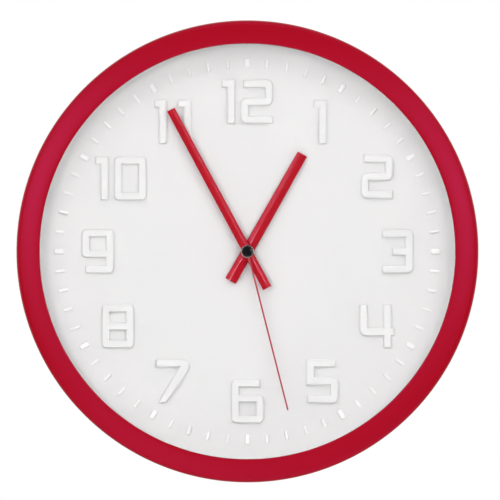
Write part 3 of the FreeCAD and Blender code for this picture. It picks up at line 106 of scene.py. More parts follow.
def grow(name, mesh, tree, values):
    """Plain mesh that the Geometry Nodes tree makes from mesh with the given values."""
    worker = bpy.data.objects.new(name + "_worker", mesh)
    bpy.context.scene.collection.objects.link(worker)
    modifier = worker.modifiers.new("grow", "NODES")
    modifier.node_group = tree
    for item in tree.interface.items_tree:
        if item.in_out == "INPUT" and item.name in values:
            modifier[item.identifier] = values[item.name]
    depsgraph = bpy.context.evaluated_depsgraph_get()
    grown = bpy.data.meshes.new_from_object(worker.evaluated_get(depsgraph))
    bpy.data.objects.remove(worker)
    grown.name = name
    return grown


def tidy_normals(mesh, smooth_angle):
    """Merges doubles, points faces outwards and shades smooth below smooth_angle."""
    work = bmesh.new()
    work.from_mesh(mesh)
    bmesh.ops.remove_doubles(work, verts=work.verts, dist=2e-6)
    bmesh.ops.dissolve_degenerate(work, edges=work.edges, dist=1e-7)
    bmesh.ops.recalc_face_normals(work, faces=work.faces)
    for face in work.faces:
        face.smooth = True
    for edge in work.edges:
        edge.smooth = not edge.is_manifold or edge.calc_face_angle(0) < smooth_angle
    work.to_mesh(mesh)
    work.free()


def fit_piece(mesh, material, body, nodes, smooth_angle=math.radians(32)):
    """Object of the finished mesh, riding on its body in place of the CAD nodes."""
    tidy_normals(mesh, smooth_angle)
    piece = bpy.data.objects.new(mesh.name, mesh)
    bpy.context.scene.collection.objects.link(piece)
    mesh.materials.clear()
    mesh.materials.append(material)
    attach(piece, body)
    if nodes:
        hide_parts(*nodes)
    return piece


def end_tree(tree, shape, material):
    """Makes the shape real, gives it the material and closes the tree with it."""
    real = add_node(tree, "GeometryNodeRealizeInstances", {0: shape})
    finished = add_node(tree, "GeometryNodeSetMaterial", {
        "Geometry": real.outputs[0], "Material": material,
    })
    add_node(tree, "NodeGroupOutput", {"Geometry": finished.outputs["Geometry"]})
    return tree


def turning_tree():
    """Turns a section, radius along X and depth along Y, round the axis of the hands."""
    tree = new_tree("Turned piece", [
        ("Middle radius", "NodeSocketFloat"), ("Segments", "NodeSocketInt"),
        ("Axis place", "NodeSocketVector"), ("Material", "NodeSocketMaterial"),
    ])
    given = add_node(tree, "NodeGroupInput")
    section = add_node(tree, "GeometryNodeMeshToCurve", {"Mesh": given.outputs["Geometry"]})
    path = add_node(tree, "GeometryNodeCurvePrimitiveCircle", {
        "Resolution": given.outputs["Segments"], "Radius": given.outputs["Middle radius"],
    })
    swept = add_node(tree, "GeometryNodeCurveToMesh", {
        "Curve": path.outputs["Curve"], "Profile Curve": section.outputs["Curve"],
    })
    placed = add_node(tree, "GeometryNodeTransform", {
        "Geometry": swept.outputs["Mesh"], "Translation": given.outputs["Axis place"],
        "Rotation": (math.radians(90), 0, 0),
    })
    return end_tree(tree, placed.outputs[0], given.outputs["Material"])


turned_tree = turning_tree()


def turn_section(name, points, material, segments=256, closed=True, place=(0, 0)):
    """Mesh turned from (radius, depth) points in millimetres about an axis at place."""
    middle = sum(p[0] for p in points) / len(points)
    section = bpy.data.meshes.new(name + "_section")
    count = len(points)
    edges = [(i, (i + 1) % count) for i in range(count if closed else count - 1)]
    corners = [((p[0] - middle) * MM, -p[1] * MM, 0) for p in points]
    section.from_pydata(corners, edges, [])
    return grow(name, section, turned_tree, {
        "Middle radius": middle * MM, "Segments": segments, "Material": material,
        "Axis place": (axis_x + place[0] * MM, 0, axis_z + place[1] * MM),
    })


def new_effect(name, inputs, outputs):
    """Empty shader node group with named inputs and outputs."""
    tree = bpy.data.node_groups.new(name, "ShaderNodeTree")
    for label, kind, value in inputs:
        socket = tree.interface.new_socket(label, in_out="INPUT", socket_type=kind)
        socket.default_value = value
    for label, kind in outputs:
        tree.interface.new_socket(label, in_out="OUTPUT", socket_type=kind)
    return tree


def maths(tree, operation, first, second=0.0, clamp=False):
    """Output of one Math node."""
    node = add_node(tree, "ShaderNodeMath", {0: first, 1: second}, operation=operation)
    node.use_clamp = clamp
    return node.outputs[0]


def mix_colour(tree, share, first, second):
    """Output of one Mix node on colours."""
    return add_node(tree, "ShaderNodeMix", {0: share, 6: first, 7: second},
                    data_type="RGBA").outputs[2]


def noise(tree, place, scale, detail=3.0, rough=0.55):
    """Factor of one Noise texture on the given coordinates."""
    node = add_node(tree, "ShaderNodeTexNoise", {
        "Vector": place, "Scale": scale, "Detail": detail, "Roughness": rough,
    })
    return node.outputs["Fac"]


def inputs_of(tree):
    """The group's inputs, and the object coordinates that its textures read."""
    place = add_node(tree, "ShaderNodeTexCoord").outputs["Object"]
    return add_node(tree, "NodeGroupInput").outputs, place


def moulded_effect():
    """Skin of a moulding: slow flow tones, fine spark grain and small gloss changes."""
    tree = new_effect("Moulded skin", [
        ("Colour", "NodeSocketColor", (0.8, 0.8, 0.8, 1)), ("Tone", "NodeSocketFloat", 0.06),
        ("Tone scale", "NodeSocketFloat", 14.0), ("Grain scale", "NodeSocketFloat", 2200.0),
        ("Roughness", "NodeSocketFloat", 0.4), ("Gloss change", "NodeSocketFloat", 0.06),
    ], [
        ("Colour", "NodeSocketColor"), ("Roughness", "NodeSocketFloat"),
        ("Height", "NodeSocketFloat"),
    ])
    given, place = inputs_of(tree)
    flow = noise(tree, place, given["Tone scale"], 4.0)
    shade = maths(tree, "MULTIPLY", maths(tree, "SUBTRACT", flow, 0.5), given["Tone"])
    shade = maths(tree, "ADD", shade, 1.0)
    tinted = add_node(tree, "ShaderNodeVectorMath", {0: given["Colour"], 3: shade},
                      operation="SCALE")
    grain = noise(tree, place, given["Grain scale"], 2.0)
    pores = add_node(tree, "ShaderNodeTexVoronoi", {
        "Vector": place, "Scale": maths(tree, "MULTIPLY", given["Grain scale"], 0.6),
    }).outputs["Distance"]
    height = maths(tree, "ADD", grain, maths(tree, "MULTIPLY", pores, 0.5))
    smears = noise(tree, place, 55.0, 5.0, 0.7)
    gloss = maths(tree, "MULTIPLY", maths(tree, "SUBTRACT", smears, 0.5), given["Gloss change"])
    rough = maths(tree, "ADD", gloss, given["Roughness"], True)
    add_node(tree, "NodeGroupOutput", {
        "Colour": tinted.outputs[0], "Roughness": rough, "Height": height,
    })
    return tree


def worn_edge_effect():
    """Mask of the outer edges, broken up by noise, where handling has polished them."""
    tree = new_effect("Worn edge", [
        ("Reach", "NodeSocketFloat", 0.0006), ("Strength", "NodeSocketFloat", 1.0),
    ], [("Mask", "NodeSocketFloat")])
    given, place = inputs_of(tree)
    soft = add_node(tree, "ShaderNodeBevel", {"Radius": given["Reach"]}, samples=4)
    flat = add_node(tree, "ShaderNodeNewGeometry").outputs["Normal"]
    facing = add_node(tree, "ShaderNodeVectorMath", {0: soft.outputs[0], 1: flat},
                      operation="DOT_PRODUCT").outputs["Value"]
    edge = maths(tree, "MULTIPLY", maths(tree, "SUBTRACT", 1.0, facing), 6.0, True)
    broken = maths(tree, "MULTIPLY", noise(tree, place, 420.0, 4.0, 0.7), 1.5, True)
    mask = maths(tree, "MULTIPLY", maths(tree, "MULTIPLY", edge, broken), given["Strength"], True)
    add_node(tree, "NodeGroupOutput", {"Mask": mask})
    return tree


def dust_effect():
    """Mask of the fine dust that settles on faces that look up."""
    tree = new_effect("Settled dust", [("Amount", "NodeSocketFloat", 0.15)],
                      [("Mask", "NodeSocketFloat")])
    given, place = inputs_of(tree)
    normal = add_node(tree, "ShaderNodeNewGeometry").outputs["Normal"]
    upward = add_node(tree, "ShaderNodeSeparateXYZ", {0: normal}).outputs["Z"]
    lying = maths(tree, "MULTIPLY", maths(tree, "SUBTRACT", upward, 0.55), 2.2, True)
    specks = maths(tree, "MULTIPLY", noise(tree, place, 900.0, 4.0, 0.75), 1.7, True)
    drift = noise(tree, place, 38.0, 3.0)
    amount = maths(tree, "MULTIPLY", maths(tree, "MULTIPLY", specks, drift), given["Amount"])
    add_node(tree, "NodeGroupOutput", {"Mask": maths(tree, "MULTIPLY", lying, amount, True)})
    return tree


moulded_skin = moulded_effect()
worn_edge = worn_edge_effect()
settled_dust = dust_effect()
DUST = (0.62, 0.60, 0.57, 1)


def effect_node(tree, effect, **values):
    """One of the shader groups placed in a material with its own values."""
    node = tree.nodes.new("ShaderNodeGroup")
    node.node_tree = effect
    for label, value in values.items():
        socket = node.inputs[label.replace("_", " ")]
        if isinstance(value, bpy.types.NodeSocket):
            tree.links.new(value, socket)
        else:
            socket.default_value = value
    return node.outputs


def new_material(name):
    """Material with its node tree and its shader."""
    material = bpy.data.materials.new(name)
    material.use_nodes = True
    return material, material.node_tree, material.node_tree.nodes["Principled BSDF"]


def lay_skin(tree, shader, shown, gloss, height, bump):
    """Feeds the colour, the gloss and the fine relief into the shader."""
    bumps = add_node(tree, "ShaderNodeBump", {
        "Height": height, "Strength": bump, "Distance": 0.0002,
    })
    tree.links.new(shown, shader.inputs["Base Color"])
    tree.links.new(gloss, shader.inputs["Roughness"])
    tree.links.new(bumps.outputs["Normal"], shader.inputs["Normal"])


def moulding(name, colour, rough, tone=0.06, grain=2200.0, bump=0.05, gloss_change=0.06,
             worn=0.0, worn_colour=None, dust=0.15, coat=0.0, subsurface=0.0,
             gloss_tint=(1, 1, 1)):
    """Plastic with moulded skin, rubbed edges and a little dust."""
    material, tree, shader = new_material(name)
    skin = effect_node(tree, moulded_skin, Colour=(*colour, 1), Tone=tone, Grain_scale=grain,
                       Roughness=rough, Gloss_change=gloss_change)
    shown, gloss = skin["Colour"], skin["Roughness"]
    if worn > 0:
        mask = effect_node(tree, worn_edge, Strength=worn)["Mask"]
        paler = worn_colour or [min(1.0, c * 1.5 + 0.02) for c in colour]
        shown = mix_colour(tree, mask, shown, (*paler, 1))
        gloss = maths(tree, "SUBTRACT", gloss, maths(tree, "MULTIPLY", mask, 0.12), True)
    if dust > 0:
        lying = effect_node(tree, settled_dust, Amount=dust)["Mask"]
        shown = mix_colour(tree, lying, shown, DUST)
        gloss = maths(tree, "ADD", gloss, maths(tree, "MULTIPLY", lying, 0.5), True)
    lay_skin(tree, shader, shown, gloss, skin["Height"], bump)
    shader.inputs["IOR"].default_value = 1.53
    shader.inputs["Specular Tint"].default_value = (*gloss_tint, 1)
    shader.inputs["Coat Weight"].default_value = coat
    shader.inputs["Coat Roughness"].default_value = 0.08
    if subsurface > 0:
        shader.inputs["Subsurface Weight"].default_value = subsurface
        shader.inputs["Subsurface Radius"].default_value = (0.004, 0.003, 0.003)
        shader.inputs["Subsurface Scale"].default_value = 0.5
    return material


red_satin = moulding("Red satin ABS", ring_red, 0.33, tone=0.05, grain=2600.0, bump=0.10,
                     gloss_change=0.05, worn=0.35, worn_colour=(0.50, 0.030, 0.045), dust=0.10,
                     gloss_tint=(1.0, 0.14, 0.50))


def arc_from(start, end, radius, steps):
    """Points of the arc from start to end that bulges to the right of the way there."""
    start, end = Vector(start), Vector(end)
    chord = end - start
    side = Vector((chord.y, -chord.x)).normalized()
    rise = math.sqrt(radius * radius - chord.length_squared / 4)
    centre = (start + end) / 2 - side * rise
    turn = (start - centre).angle_signed(end - centre)
    return [centre + Matrix.Rotation(-turn * k / steps, 2) @ (start - centre)
            for k in range(steps + 1)]


lens_seat, seat_radius, seat_outer, seat_back = 35.0, 141.5, 143.5, 13.0
skin_back, wall_front = 36.9, 35.5
ring_back = ring_radius - 1.3
face_inner, face_outer, edge_start = ring_depth - 0.06, ring_depth - 1.3, ring_depth - 4.3
ring_section = [Vector((ring_back - 2.6, 0.0)), Vector((ring_back - 2.2, 0.0))]
ring_section += rounded([(ring_back, 0.0, 0.5), (ring_radius, wall_front, 0),
                         (0, wall_front, 0)])[:6]
ring_section += arc_from((ring_radius, edge_start), (ring_radius - 2.5, face_outer), 3.4, 12)
ring_section += arc_from((ring_radius - 2.55, face_outer + 0.01),
                         (ring_lip_radius + 1.15, face_inner), 80.0, 14)
ring_section += arc_from((ring_lip_radius + 1.1, face_inner - 0.01),
                         (ring_lip_radius, face_inner - 1.11), 1.2, 8)
ring_section += [Vector(p) for p in (
    (ring_lip_radius, lens_seat), (seat_radius, lens_seat), (seat_radius, seat_back),
    (seat_outer, seat_back), (seat_outer, skin_back), (ring_radius - 2.9, skin_back),
)]
case_ring = turn_section("case_ring_moulding", ring_section, red_satin, segments=360)

# six bosses stand inside the channel and are webbed to both walls of the moulding
boss_count, boss_circle, boss_radius, pilot_radius = 6, 146.0, 3.8, 1.1
boss_mesh = turn_section("screw_boss", rounded([
    (pilot_radius, seat_back, 0.2), (boss_radius, seat_back, 0.4),
    (boss_radius + 0.3, skin_back + 0.05, 0), (pilot_radius, skin_back + 0.05, 0),
]), red_satin, segments=36)
boss_mesh.transform(Matrix.Translation((-axis_x, 0, -axis_z)))


def ring_of_tree():
    """Repeats a shape evenly round the axis; the shape is made at the axis."""
    tree = new_tree("Evenly round the axis", [
        ("Count", "NodeSocketInt"), ("Circle", "NodeSocketFloat"),
        ("First turn", "NodeSocketFloat"), ("Skip each", "NodeSocketInt"),
        ("Axis place", "NodeSocketVector"), ("Material", "NodeSocketMaterial"),
    ])
    given = add_node(tree, "NodeGroupInput").outputs
    places = add_node(tree, "GeometryNodePoints", {"Count": given["Count"]})
    number = add_node(tree, "GeometryNodeInputIndex").outputs[0]
    step = maths(tree, "DIVIDE", math.tau, given["Count"])
    turn = maths(tree, "ADD", maths(tree, "MULTIPLY", number, step), given["First turn"])
    turned = add_node(tree, "ShaderNodeCombineXYZ", {"Y": turn}).outputs[0]
    spot = add_node(tree, "ShaderNodeCombineXYZ", {
        "X": maths(tree, "MULTIPLY", maths(tree, "SINE", turn), given["Circle"]),
        "Z": maths(tree, "MULTIPLY", maths(tree, "COSINE", turn), given["Circle"]),
    }).outputs[0]
    spot = add_node(tree, "ShaderNodeVectorMath", {0: spot, 1: given["Axis place"]},
                    operation="ADD").outputs[0]
    kept = maths(tree, "ADD", maths(tree, "MODULO", number, given["Skip each"]),
                 maths(tree, "LESS_THAN", given["Skip each"], 0.5))
    placed = add_node(tree, "GeometryNodeSetPosition", {
        "Geometry": places.outputs[0], "Position": spot,
    })
    turned_copy = add_node(tree, "GeometryNodeInstanceOnPoints", {
        "Points": placed.outputs[0], "Selection": kept, "Instance": given["Geometry"],
        "Rotation": turned,
    })
    return end_tree(tree, turned_copy.outputs[0], given["Material"])


round_tree = ring_of_tree()


def repeat_round(name, mesh, count, circle, material, first_turn=0.0, skip_each=0):
    """The mesh, made at the axis with its top upwards, count times round a circle."""
    return grow(name, mesh, round_tree, {
        "Count": count, "Circle": circle * MM, "First turn": first_turn,
        "Skip each": skip_each, "Axis place": (axis_x, 0, axis_z), "Material": material,
    })


def mesh_of(name, work):
    """Mesh of the finished work, which is then let go."""
    mesh = bpy.data.meshes.new(name)
    work.to_mesh(mesh)
    work.free()
    return mesh


def join_meshes(name, meshes):
    """One mesh of several that already lie in place."""
    work = bmesh.new()
    for mesh in meshes:
        work.from_mesh(mesh)
    return mesh_of(name, work)


boss_ring = repeat_round("screw_bosses", boss_mesh, boss_count, boss_circle, red_satin,
                         first_turn=math.radians(30))
ring_mesh = join_meshes("case_ring_moulding", [case_ring, boss_ring])
fit_piece(ring_mesh, red_satin, "clock", ["case_ring"])

# ----------------------------------------------------------
# Lens: a flat clear acrylic disc, laser cut with a flame-polished edge. It is laid in the ring's
# seat against the underside of the lip and is held there by the spacer behind it.
lens_radius, lens_back, lens_front = 141.0, 33.0, 35.0


def clear_acrylic():
    """Clear acrylic that lets light through to the dial."""
    material, tree, shader = new_material("Clear acrylic")
    shader.inputs["Base Color"].default_value = (1, 1, 1, 1)
    shader.inputs["Roughness"].default_value = 0.0
    shader.inputs["Transmission Weight"].default_value = 1.0
    shader.inputs["IOR"].default_value = 1.49
    through = add_node(tree, "ShaderNodeBsdfTransparent")
    ray = add_node(tree, "ShaderNodeLightPath")
    mixed = add_node(tree, "ShaderNodeMixShader", {
        0: ray.outputs["Is Shadow Ray"], 1: shader.outputs["BSDF"], 2: through.outputs["BSDF"],
    })
    tree.links.new(mixed.outputs["Shader"], tree.nodes["Material Output"].inputs["Surface"])
    return material


lens_clear = clear_acrylic()
lens_mesh = turn_section("lens_disc", [
    (0.0, lens_back), (lens_radius - 0.3, lens_back), (lens_radius, lens_back + 0.3),
    (lens_radius, lens_front - 0.3), (lens_radius - 0.3, lens_front), (0.0, lens_front),
], lens_clear, segments=192, closed=False)
fit_piece(lens_mesh, lens_clear, "clock", ["lens"])

# ----------------------------------------------------------
# Dial: a white ABS disc with a matt spark-eroded face. Four bosses on its back take the screws of
# the movement and of the hanger plate.
dial_radius, dial_back, dial_front, dial_hole = 140.8, 16.5, 19.0, 3.0
dial_white = moulding("White dial ABS", (0.640, 0.634, 0.634), 0.48, tone=0.012, grain=3000.0,
                      bump=0.02, gloss_change=0.04, dust=0.0)
dial_disc = turn_section("dial_disc", rounded([
    (dial_hole, dial_back, 0.1), (dial_hole, dial_front, 0.15),
    (dial_radius, dial_front, 0.15), (dial_radius, dial_back, 0.3),
]), dial_white, segments=256)
movement_across, plate_across = 31.6, 21.0
keyhole_rise = -axis_z / MM
dial_bosses = []
for across, rise, back, radius in (
    (movement_across, 0.0, 11.6, 3.2), (-movement_across, 0.0, 11.6, 3.2),
    (plate_across, keyhole_rise, 1.2, 4.0), (-plate_across, keyhole_rise, 1.2, 4.0),
):
    dial_bosses.append(turn_section("dial_boss", rounded([
        (pilot_radius, back, 0.15), (radius, back, 0.3), (radius + 0.1, dial_back + 0.1, 0),
        (pilot_radius, dial_back + 0.1, 0),
    ]), dial_white, segments=40, place=(across, rise)))
dial_mesh = join_meshes("dial_moulding", [dial_disc] + dial_bosses)
fit_piece(dial_mesh, dial_white, "clock", ["dial"])

# ----------------------------------------------------------
# Lens spacer and dial retainer: white ABS hoops. The spacer forms the wall of the well between
# dial and lens, and the retainer is screwed on from behind and clamps all three.
spacer_inside = 138.4
spacer_white = moulding("White spacer ABS", (0.860, 0.856, 0.856), 0.40, tone=0.012,
                        grain=3000.0, bump=0.02, gloss_change=0.04, dust=0.0)
spacer_mesh = turn_section("lens_spacer_hoop", rounded([
    (spacer_inside, dial_front, 0.1), (dial_radius, dial_front, 0.1),
    (dial_radius, lens_back, 0.2), (spacer_inside + 0.4, lens_back, 0.4),
]), spacer_white, segments=256)
fit_piece(spacer_mesh, spacer_white, "clock", ["lens_spacer"])
retainer_inside, flange_radius, flange_back = 137.2, 148.2, 10.8
retainer_mesh = turn_section("dial_retainer_hoop", rounded([
    (retainer_inside, dial_back, 0.2), (retainer_inside, flange_back, 0.5),
    (flange_radius, flange_back, 0.5), (flange_radius, seat_back, 0.3),
    (dial_radius, seat_back, 0.1), (dial_radius, dial_back, 0.2),
]), dial_white, segments=256)
fit_piece(retainer_mesh, dial_white, "clock", ["dial_retainer"])

# ----------------------------------------------------------
# Case screws: six zinc-plated self-tapping screws with pan heads and cross recesses, driven from
# behind through the retainer's flange into the ring's bosses.


def drawn_effect():
    """Metal drawn or rolled one way: long fine lines in its tone, gloss and height."""
    tree = new_effect("Drawn metal", [
        ("Colour", "NodeSocketColor", (0.6, 0.6, 0.6, 1)), ("Stretch", "NodeSocketVector",
                                                           (1, 1, 1)),
        ("Line scale", "NodeSocketFloat", 1500.0), ("Tone", "NodeSocketFloat", 0.15),
        ("Roughness", "NodeSocketFloat", 0.3), ("Gloss change", "NodeSocketFloat", 0.2),
    ], [
        ("Colour", "NodeSocketColor"), ("Roughness", "NodeSocketFloat"),
        ("Height", "NodeSocketFloat"),
    ])
    given, place = inputs_of(tree)
    along = add_node(tree, "ShaderNodeVectorMath", {0: place, 1: given["Stretch"]},
                     operation="MULTIPLY").outputs[0]
    lines = noise(tree, along, given["Line scale"], 3.0, 0.6)
    blotch = noise(tree, place, 160.0, 4.0, 0.65)
    both = maths(tree, "ADD", maths(tree, "MULTIPLY", lines, 0.5),
                 maths(tree, "MULTIPLY", blotch, 0.5))
    off = maths(tree, "SUBTRACT", both, 0.5)
    shade = maths(tree, "ADD", maths(tree, "MULTIPLY", off, given["Tone"]), 1.0)
    tinted = add_node(tree, "ShaderNodeVectorMath", {0: given["Colour"], 3: shade},
                      operation="SCALE")
    rough = maths(tree, "ADD", maths(tree, "MULTIPLY", off, given["Gloss change"]),
                  given["Roughness"], True)
    add_node(tree, "NodeGroupOutput", {
        "Colour": tinted.outputs[0], "Roughness": rough, "Height": lines,
    })
    return tree


drawn_metal = drawn_effect()


def metal(name, colour, rough, stretch=(1, 1, 1), lines=1500.0, tone=0.25, gloss_change=0.2,
          bump=0.04, worn=0.3, tarnish=0.0, tarnish_colour=(0.10, 0.07, 0.05)):
    """Metal with drawn lines, edges rubbed bright and, if asked, some tarnish."""
    material, tree, shader = new_material(name)
    skin = effect_node(tree, drawn_metal, Colour=(*colour, 1), Stretch=stretch,
                       Line_scale=lines, Tone=tone, Roughness=rough, Gloss_change=gloss_change)
    shown, gloss = skin["Colour"], skin["Roughness"]
    if worn > 0:
        mask = effect_node(tree, worn_edge, Strength=worn, Reach=0.0003)["Mask"]
        shown = mix_colour(tree, mask, shown, (*[min(1.0, c * 1.35) for c in colour], 1))
    if tarnish > 0:
        place = add_node(tree, "ShaderNodeTexCoord").outputs["Object"]
        cloud = maths(tree, "MULTIPLY", noise(tree, place, 120.0, 5.0, 0.7), tarnish, True)
        shown = mix_colour(tree, cloud, shown, (*tarnish_colour, 1))
        gloss = maths(tree, "ADD", gloss, maths(tree, "MULTIPLY", cloud, 0.5), True)
    lay_skin(tree, shader, shown, gloss, skin["Height"], bump)
    shader.inputs["Metallic"].default_value = 1.0
    return material


zinc_plated = metal("Zinc plated steel", (0.62, 0.63, 0.64), 0.30, lines=2400.0, tarnish=0.25,
                    tarnish_colour=(0.36, 0.34, 0.28))


def thread_mesh(core, ridge, pitch, length, seat):
    """Cut thread in millimetres, running forward from the depth of the head's seat."""
    around, per_turn = 20, 6
    rows = int(length / pitch * per_turn)
    work = bmesh.new()
    rings = []
    for row in range(rows + 1):
        run = row / rows
        taper = min(1.0, (1 - run) * 5 + 0.12)
        ring = []
        for k in range(around):
            phase = (run * length / pitch - k / around) % 1.0
            crest = max(0.0, 1 - abs(phase - 0.5) * 4)
            radius = (core + ridge * crest) * taper * MM
            turn = math.tau * k / around
            ring.append(work.verts.new((radius * math.cos(turn), -(seat + run * length) * MM,
                                        radius * math.sin(turn))))
        rings.append(ring)
    for low, high in zip(rings, rings[1:]):
        for k in range(around):
            after = (k + 1) % around
            work.faces.new((low[k], low[after], high[after], high[k]))
    work.faces.new(rings[0])
    work.faces.new(rings[-1])
    return mesh_of("thread", work)


def cut_away(mesh, cutter):
    """The mesh with the cutter's shape taken out of it."""
    solid = bpy.data.objects.new("solid", mesh)
    tool = bpy.data.objects.new("tool", cutter)
    for item in (solid, tool):
        bpy.context.scene.collection.objects.link(item)
    modifier = solid.modifiers.new("cut", "BOOLEAN")
    modifier.object = tool
    modifier.operation = "DIFFERENCE"
    modifier.solver = "EXACT"
    depsgraph = bpy.context.evaluated_depsgraph_get()
    cut = bpy.data.meshes.new_from_object(solid.evaluated_get(depsgraph))
    for item in (solid, tool):
        bpy.data.objects.remove(item)
    return cut


def cross_cutter(radius, width, top, bottom):
    """Two crossed tapering blades that cut a driver's recess from behind."""
    meshes = []
    for turn in (0.0, math.pi / 2):
        work = bmesh.new()
        bmesh.ops.create_cube(work, size=1.0)
        for vert in work.verts:
            at_top = vert.co.y > 0
            reach = radius if at_top else radius * 0.45
            vert.co = Vector((vert.co.x * 2 * reach * MM, -(top if at_top else bottom) * MM,
                              vert.co.z * (width if at_top else width * 0.8) * MM))
        bmesh.ops.rotate(work, verts=work.verts, cent=(0, 0, 0),
                         matrix=Matrix.Rotation(turn, 3, "Y"))
        mesh = mesh_of("blade", work)
        tidy_normals(mesh, 0.5)
        meshes.append(mesh)
    return meshes


def pan_screw(head_radius, head, shank, length, seat):
    """Pan-head screw at the axis: head towards the wall, thread towards the front."""
    top = seat - head
    outline = [(0.0, top)]
    outline += arc_from((head_radius * 0.55, top), (head_radius, top + head * 0.62),
                        head_radius * 0.75, 6)
    outline += [(head_radius, seat), (0.0, seat)]
    head_mesh = turn_section("screw_head", outline, zinc_plated, segments=32, closed=False)
    head_mesh.transform(Matrix.Translation((-axis_x, 0, -axis_z)))
    tidy_normals(head_mesh, 0.6)
    for blade in cross_cutter(head_radius * 0.62, head_radius * 0.26, top - 0.3, top + 0.85):
        head_mesh = cut_away(head_mesh, blade)
    return join_meshes("pan_screw", [head_mesh, thread_mesh(shank * 0.78, shank * 0.22, 0.9,
                                                            length, seat - 0.02)])


case_screw = pan_screw(2.4, 1.4, 1.05, 7.0, flange_back)
case_screws = repeat_round("case_screw_set", case_screw, boss_count, boss_circle, zinc_plated,
                           first_turn=math.radians(30))
fit_piece(case_screws, zinc_plated, "clock", ["case_screws"])

# ----------------------------------------------------------
# Numerals: twelve separate white ABS mouldings with softly rounded front edges, each glued on the
# dial by its flat back.
numeral_white = moulding("White numeral ABS", (0.662, 0.657, 0.657), 0.42, tone=0.02,
                         grain=2600.0, bump=0.02, gloss_change=0.06, dust=0.0)


def soft_edges(mesh, width, segments, angle, front_only=False):
    """The mesh with its flat faces merged and every edge sharper than angle rounded, or only
    the edges of its front face."""
    work = bmesh.new()
    work.from_mesh(mesh)
    bmesh.ops.remove_doubles(work, verts=work.verts, dist=2e-6)
    bmesh.ops.dissolve_limit(work, angle_limit=math.radians(1.5), verts=work.verts,
                             edges=work.edges)
    bmesh.ops.recalc_face_normals(work, faces=work.faces)
    weight = work.edges.layers.float.new("bevel_weight_edge")
    front = min(v.co.y for v in work.verts) + 1e-5
    for edge in work.edges:
        ahead = max(v.co.y for v in edge.verts) < front
        if edge.calc_face_angle(0) > angle and (ahead or not front_only):
            edge[weight] = 1.0
    worker = bpy.data.objects.new("worker", mesh_of(mesh.name, work))
    bpy.context.scene.collection.objects.link(worker)
    modifier = worker.modifiers.new("round", "BEVEL")
    modifier.width = width * MM
    modifier.segments = segments
    modifier.limit_method = "WEIGHT"
    depsgraph = bpy.context.evaluated_depsgraph_get()
    rounded_mesh = bpy.data.meshes.new_from_object(worker.evaluated_get(depsgraph))
    bpy.data.objects.remove(worker)
    return rounded_mesh


def even_shading(piece):
    """Lets the large flat faces decide the shading of the narrow rounded edges."""
    modifier = piece.modifiers.new("even shading", "WEIGHTED_NORMAL")
    modifier.keep_sharp = True
    modifier.weight = 100
    return piece


for hour in range(1, 13):
    node = f"numeral_{hour:02d}"
    digits = soft_edges(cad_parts[node].data.copy(), 1.2, 5, math.radians(30),
                        front_only=True)
    digits.name = f"numeral_{hour:02d}_moulding"
    even_shading(fit_piece(digits, numeral_white, "clock", [node]))

# ----------------------------------------------------------
# Marks: short raised bars of white ABS round the dial's edge, forty-eight narrow ones for the
# minutes and twelve wider ones for the hours.
mark_inner, mark_length, mark_raise = 121.3, 6.3, 1.5
# The marks' white is paler than the dial's white ABS. This is partly a whiter plastic and partly
# painted highlight, standing for the light the raised bars catch inside the shade the ring casts
# on the dial's edge.
mark_white_painted_bright = moulding("White mark ABS painted bright", (0.750, 0.747, 0.747), 0.36, tone=0.02,
                      grain=2600.0, bump=0.02, gloss_change=0.06, dust=0.0)


def bar_mesh(width, length, low, high, edge):
    """Bar at the axis, upright and centred, with rounded front edges, in millimetres."""
    work = bmesh.new()
    bmesh.ops.create_cube(work, size=1.0)
    for vert in work.verts:
        vert.co = Vector((vert.co.x * width, -(high if vert.co.y < 0 else low),
                          vert.co.z * length)) * MM
    front = [e for e in work.edges if max(v.co.y for v in e.verts) < -(low + high) / 2 * MM]
    upright = [e for e in work.edges if abs(e.verts[0].co.y - e.verts[1].co.y) > 1e-6]
    bmesh.ops.bevel(work, geom=front + upright, offset=edge * MM, segments=3, profile=0.5,
                    affect="EDGES")
    return mesh_of("bar", work)


mark_circle = mark_inner + mark_length / 2
minute_bar = bar_mesh(1.7, mark_length, dial_front, dial_front + mark_raise, 0.28)
minute_marks = repeat_round("minute_mark_set", minute_bar, 60, mark_circle, mark_white_painted_bright,
                            skip_each=5)
even_shading(fit_piece(minute_marks, mark_white_painted_bright, "clock", ["minute_marks"]))
hour_bar = bar_mesh(3.2, mark_length, dial_front, dial_front + mark_raise, 0.35)
hour_marks = repeat_round("hour_mark_set", hour_bar, 12, mark_circle, mark_white_painted_bright)
even_shading(fit_piece(hour_marks, mark_white_painted_bright, "clock", ["hour_marks"]))

# ----------------------------------------------------------
# Hour and minute hands: pressed aluminium strips with an arched face, square-cut ends and a gloss
# red lacquer. Each is pressed on its own tube of the movement.
hand_red = moulding("Red hand lacquer", (0.38, 0.0022, 0.0090), 0.15, tone=0.03, grain=1800.0,
                    bump=0.015, gloss_change=0.05, worn=0.25, worn_colour=(0.55, 0.05, 0.06),
                    dust=0.0, gloss_tint=(1.0, 0.42, 0.60))


hour_rear, minute_rear, hand_side = 22.0, 25.0, 0.5
hour_tube_radius, minute_tube_radius, press_gap = 2.5, 1.6, 0.02
drill_length = 12.0


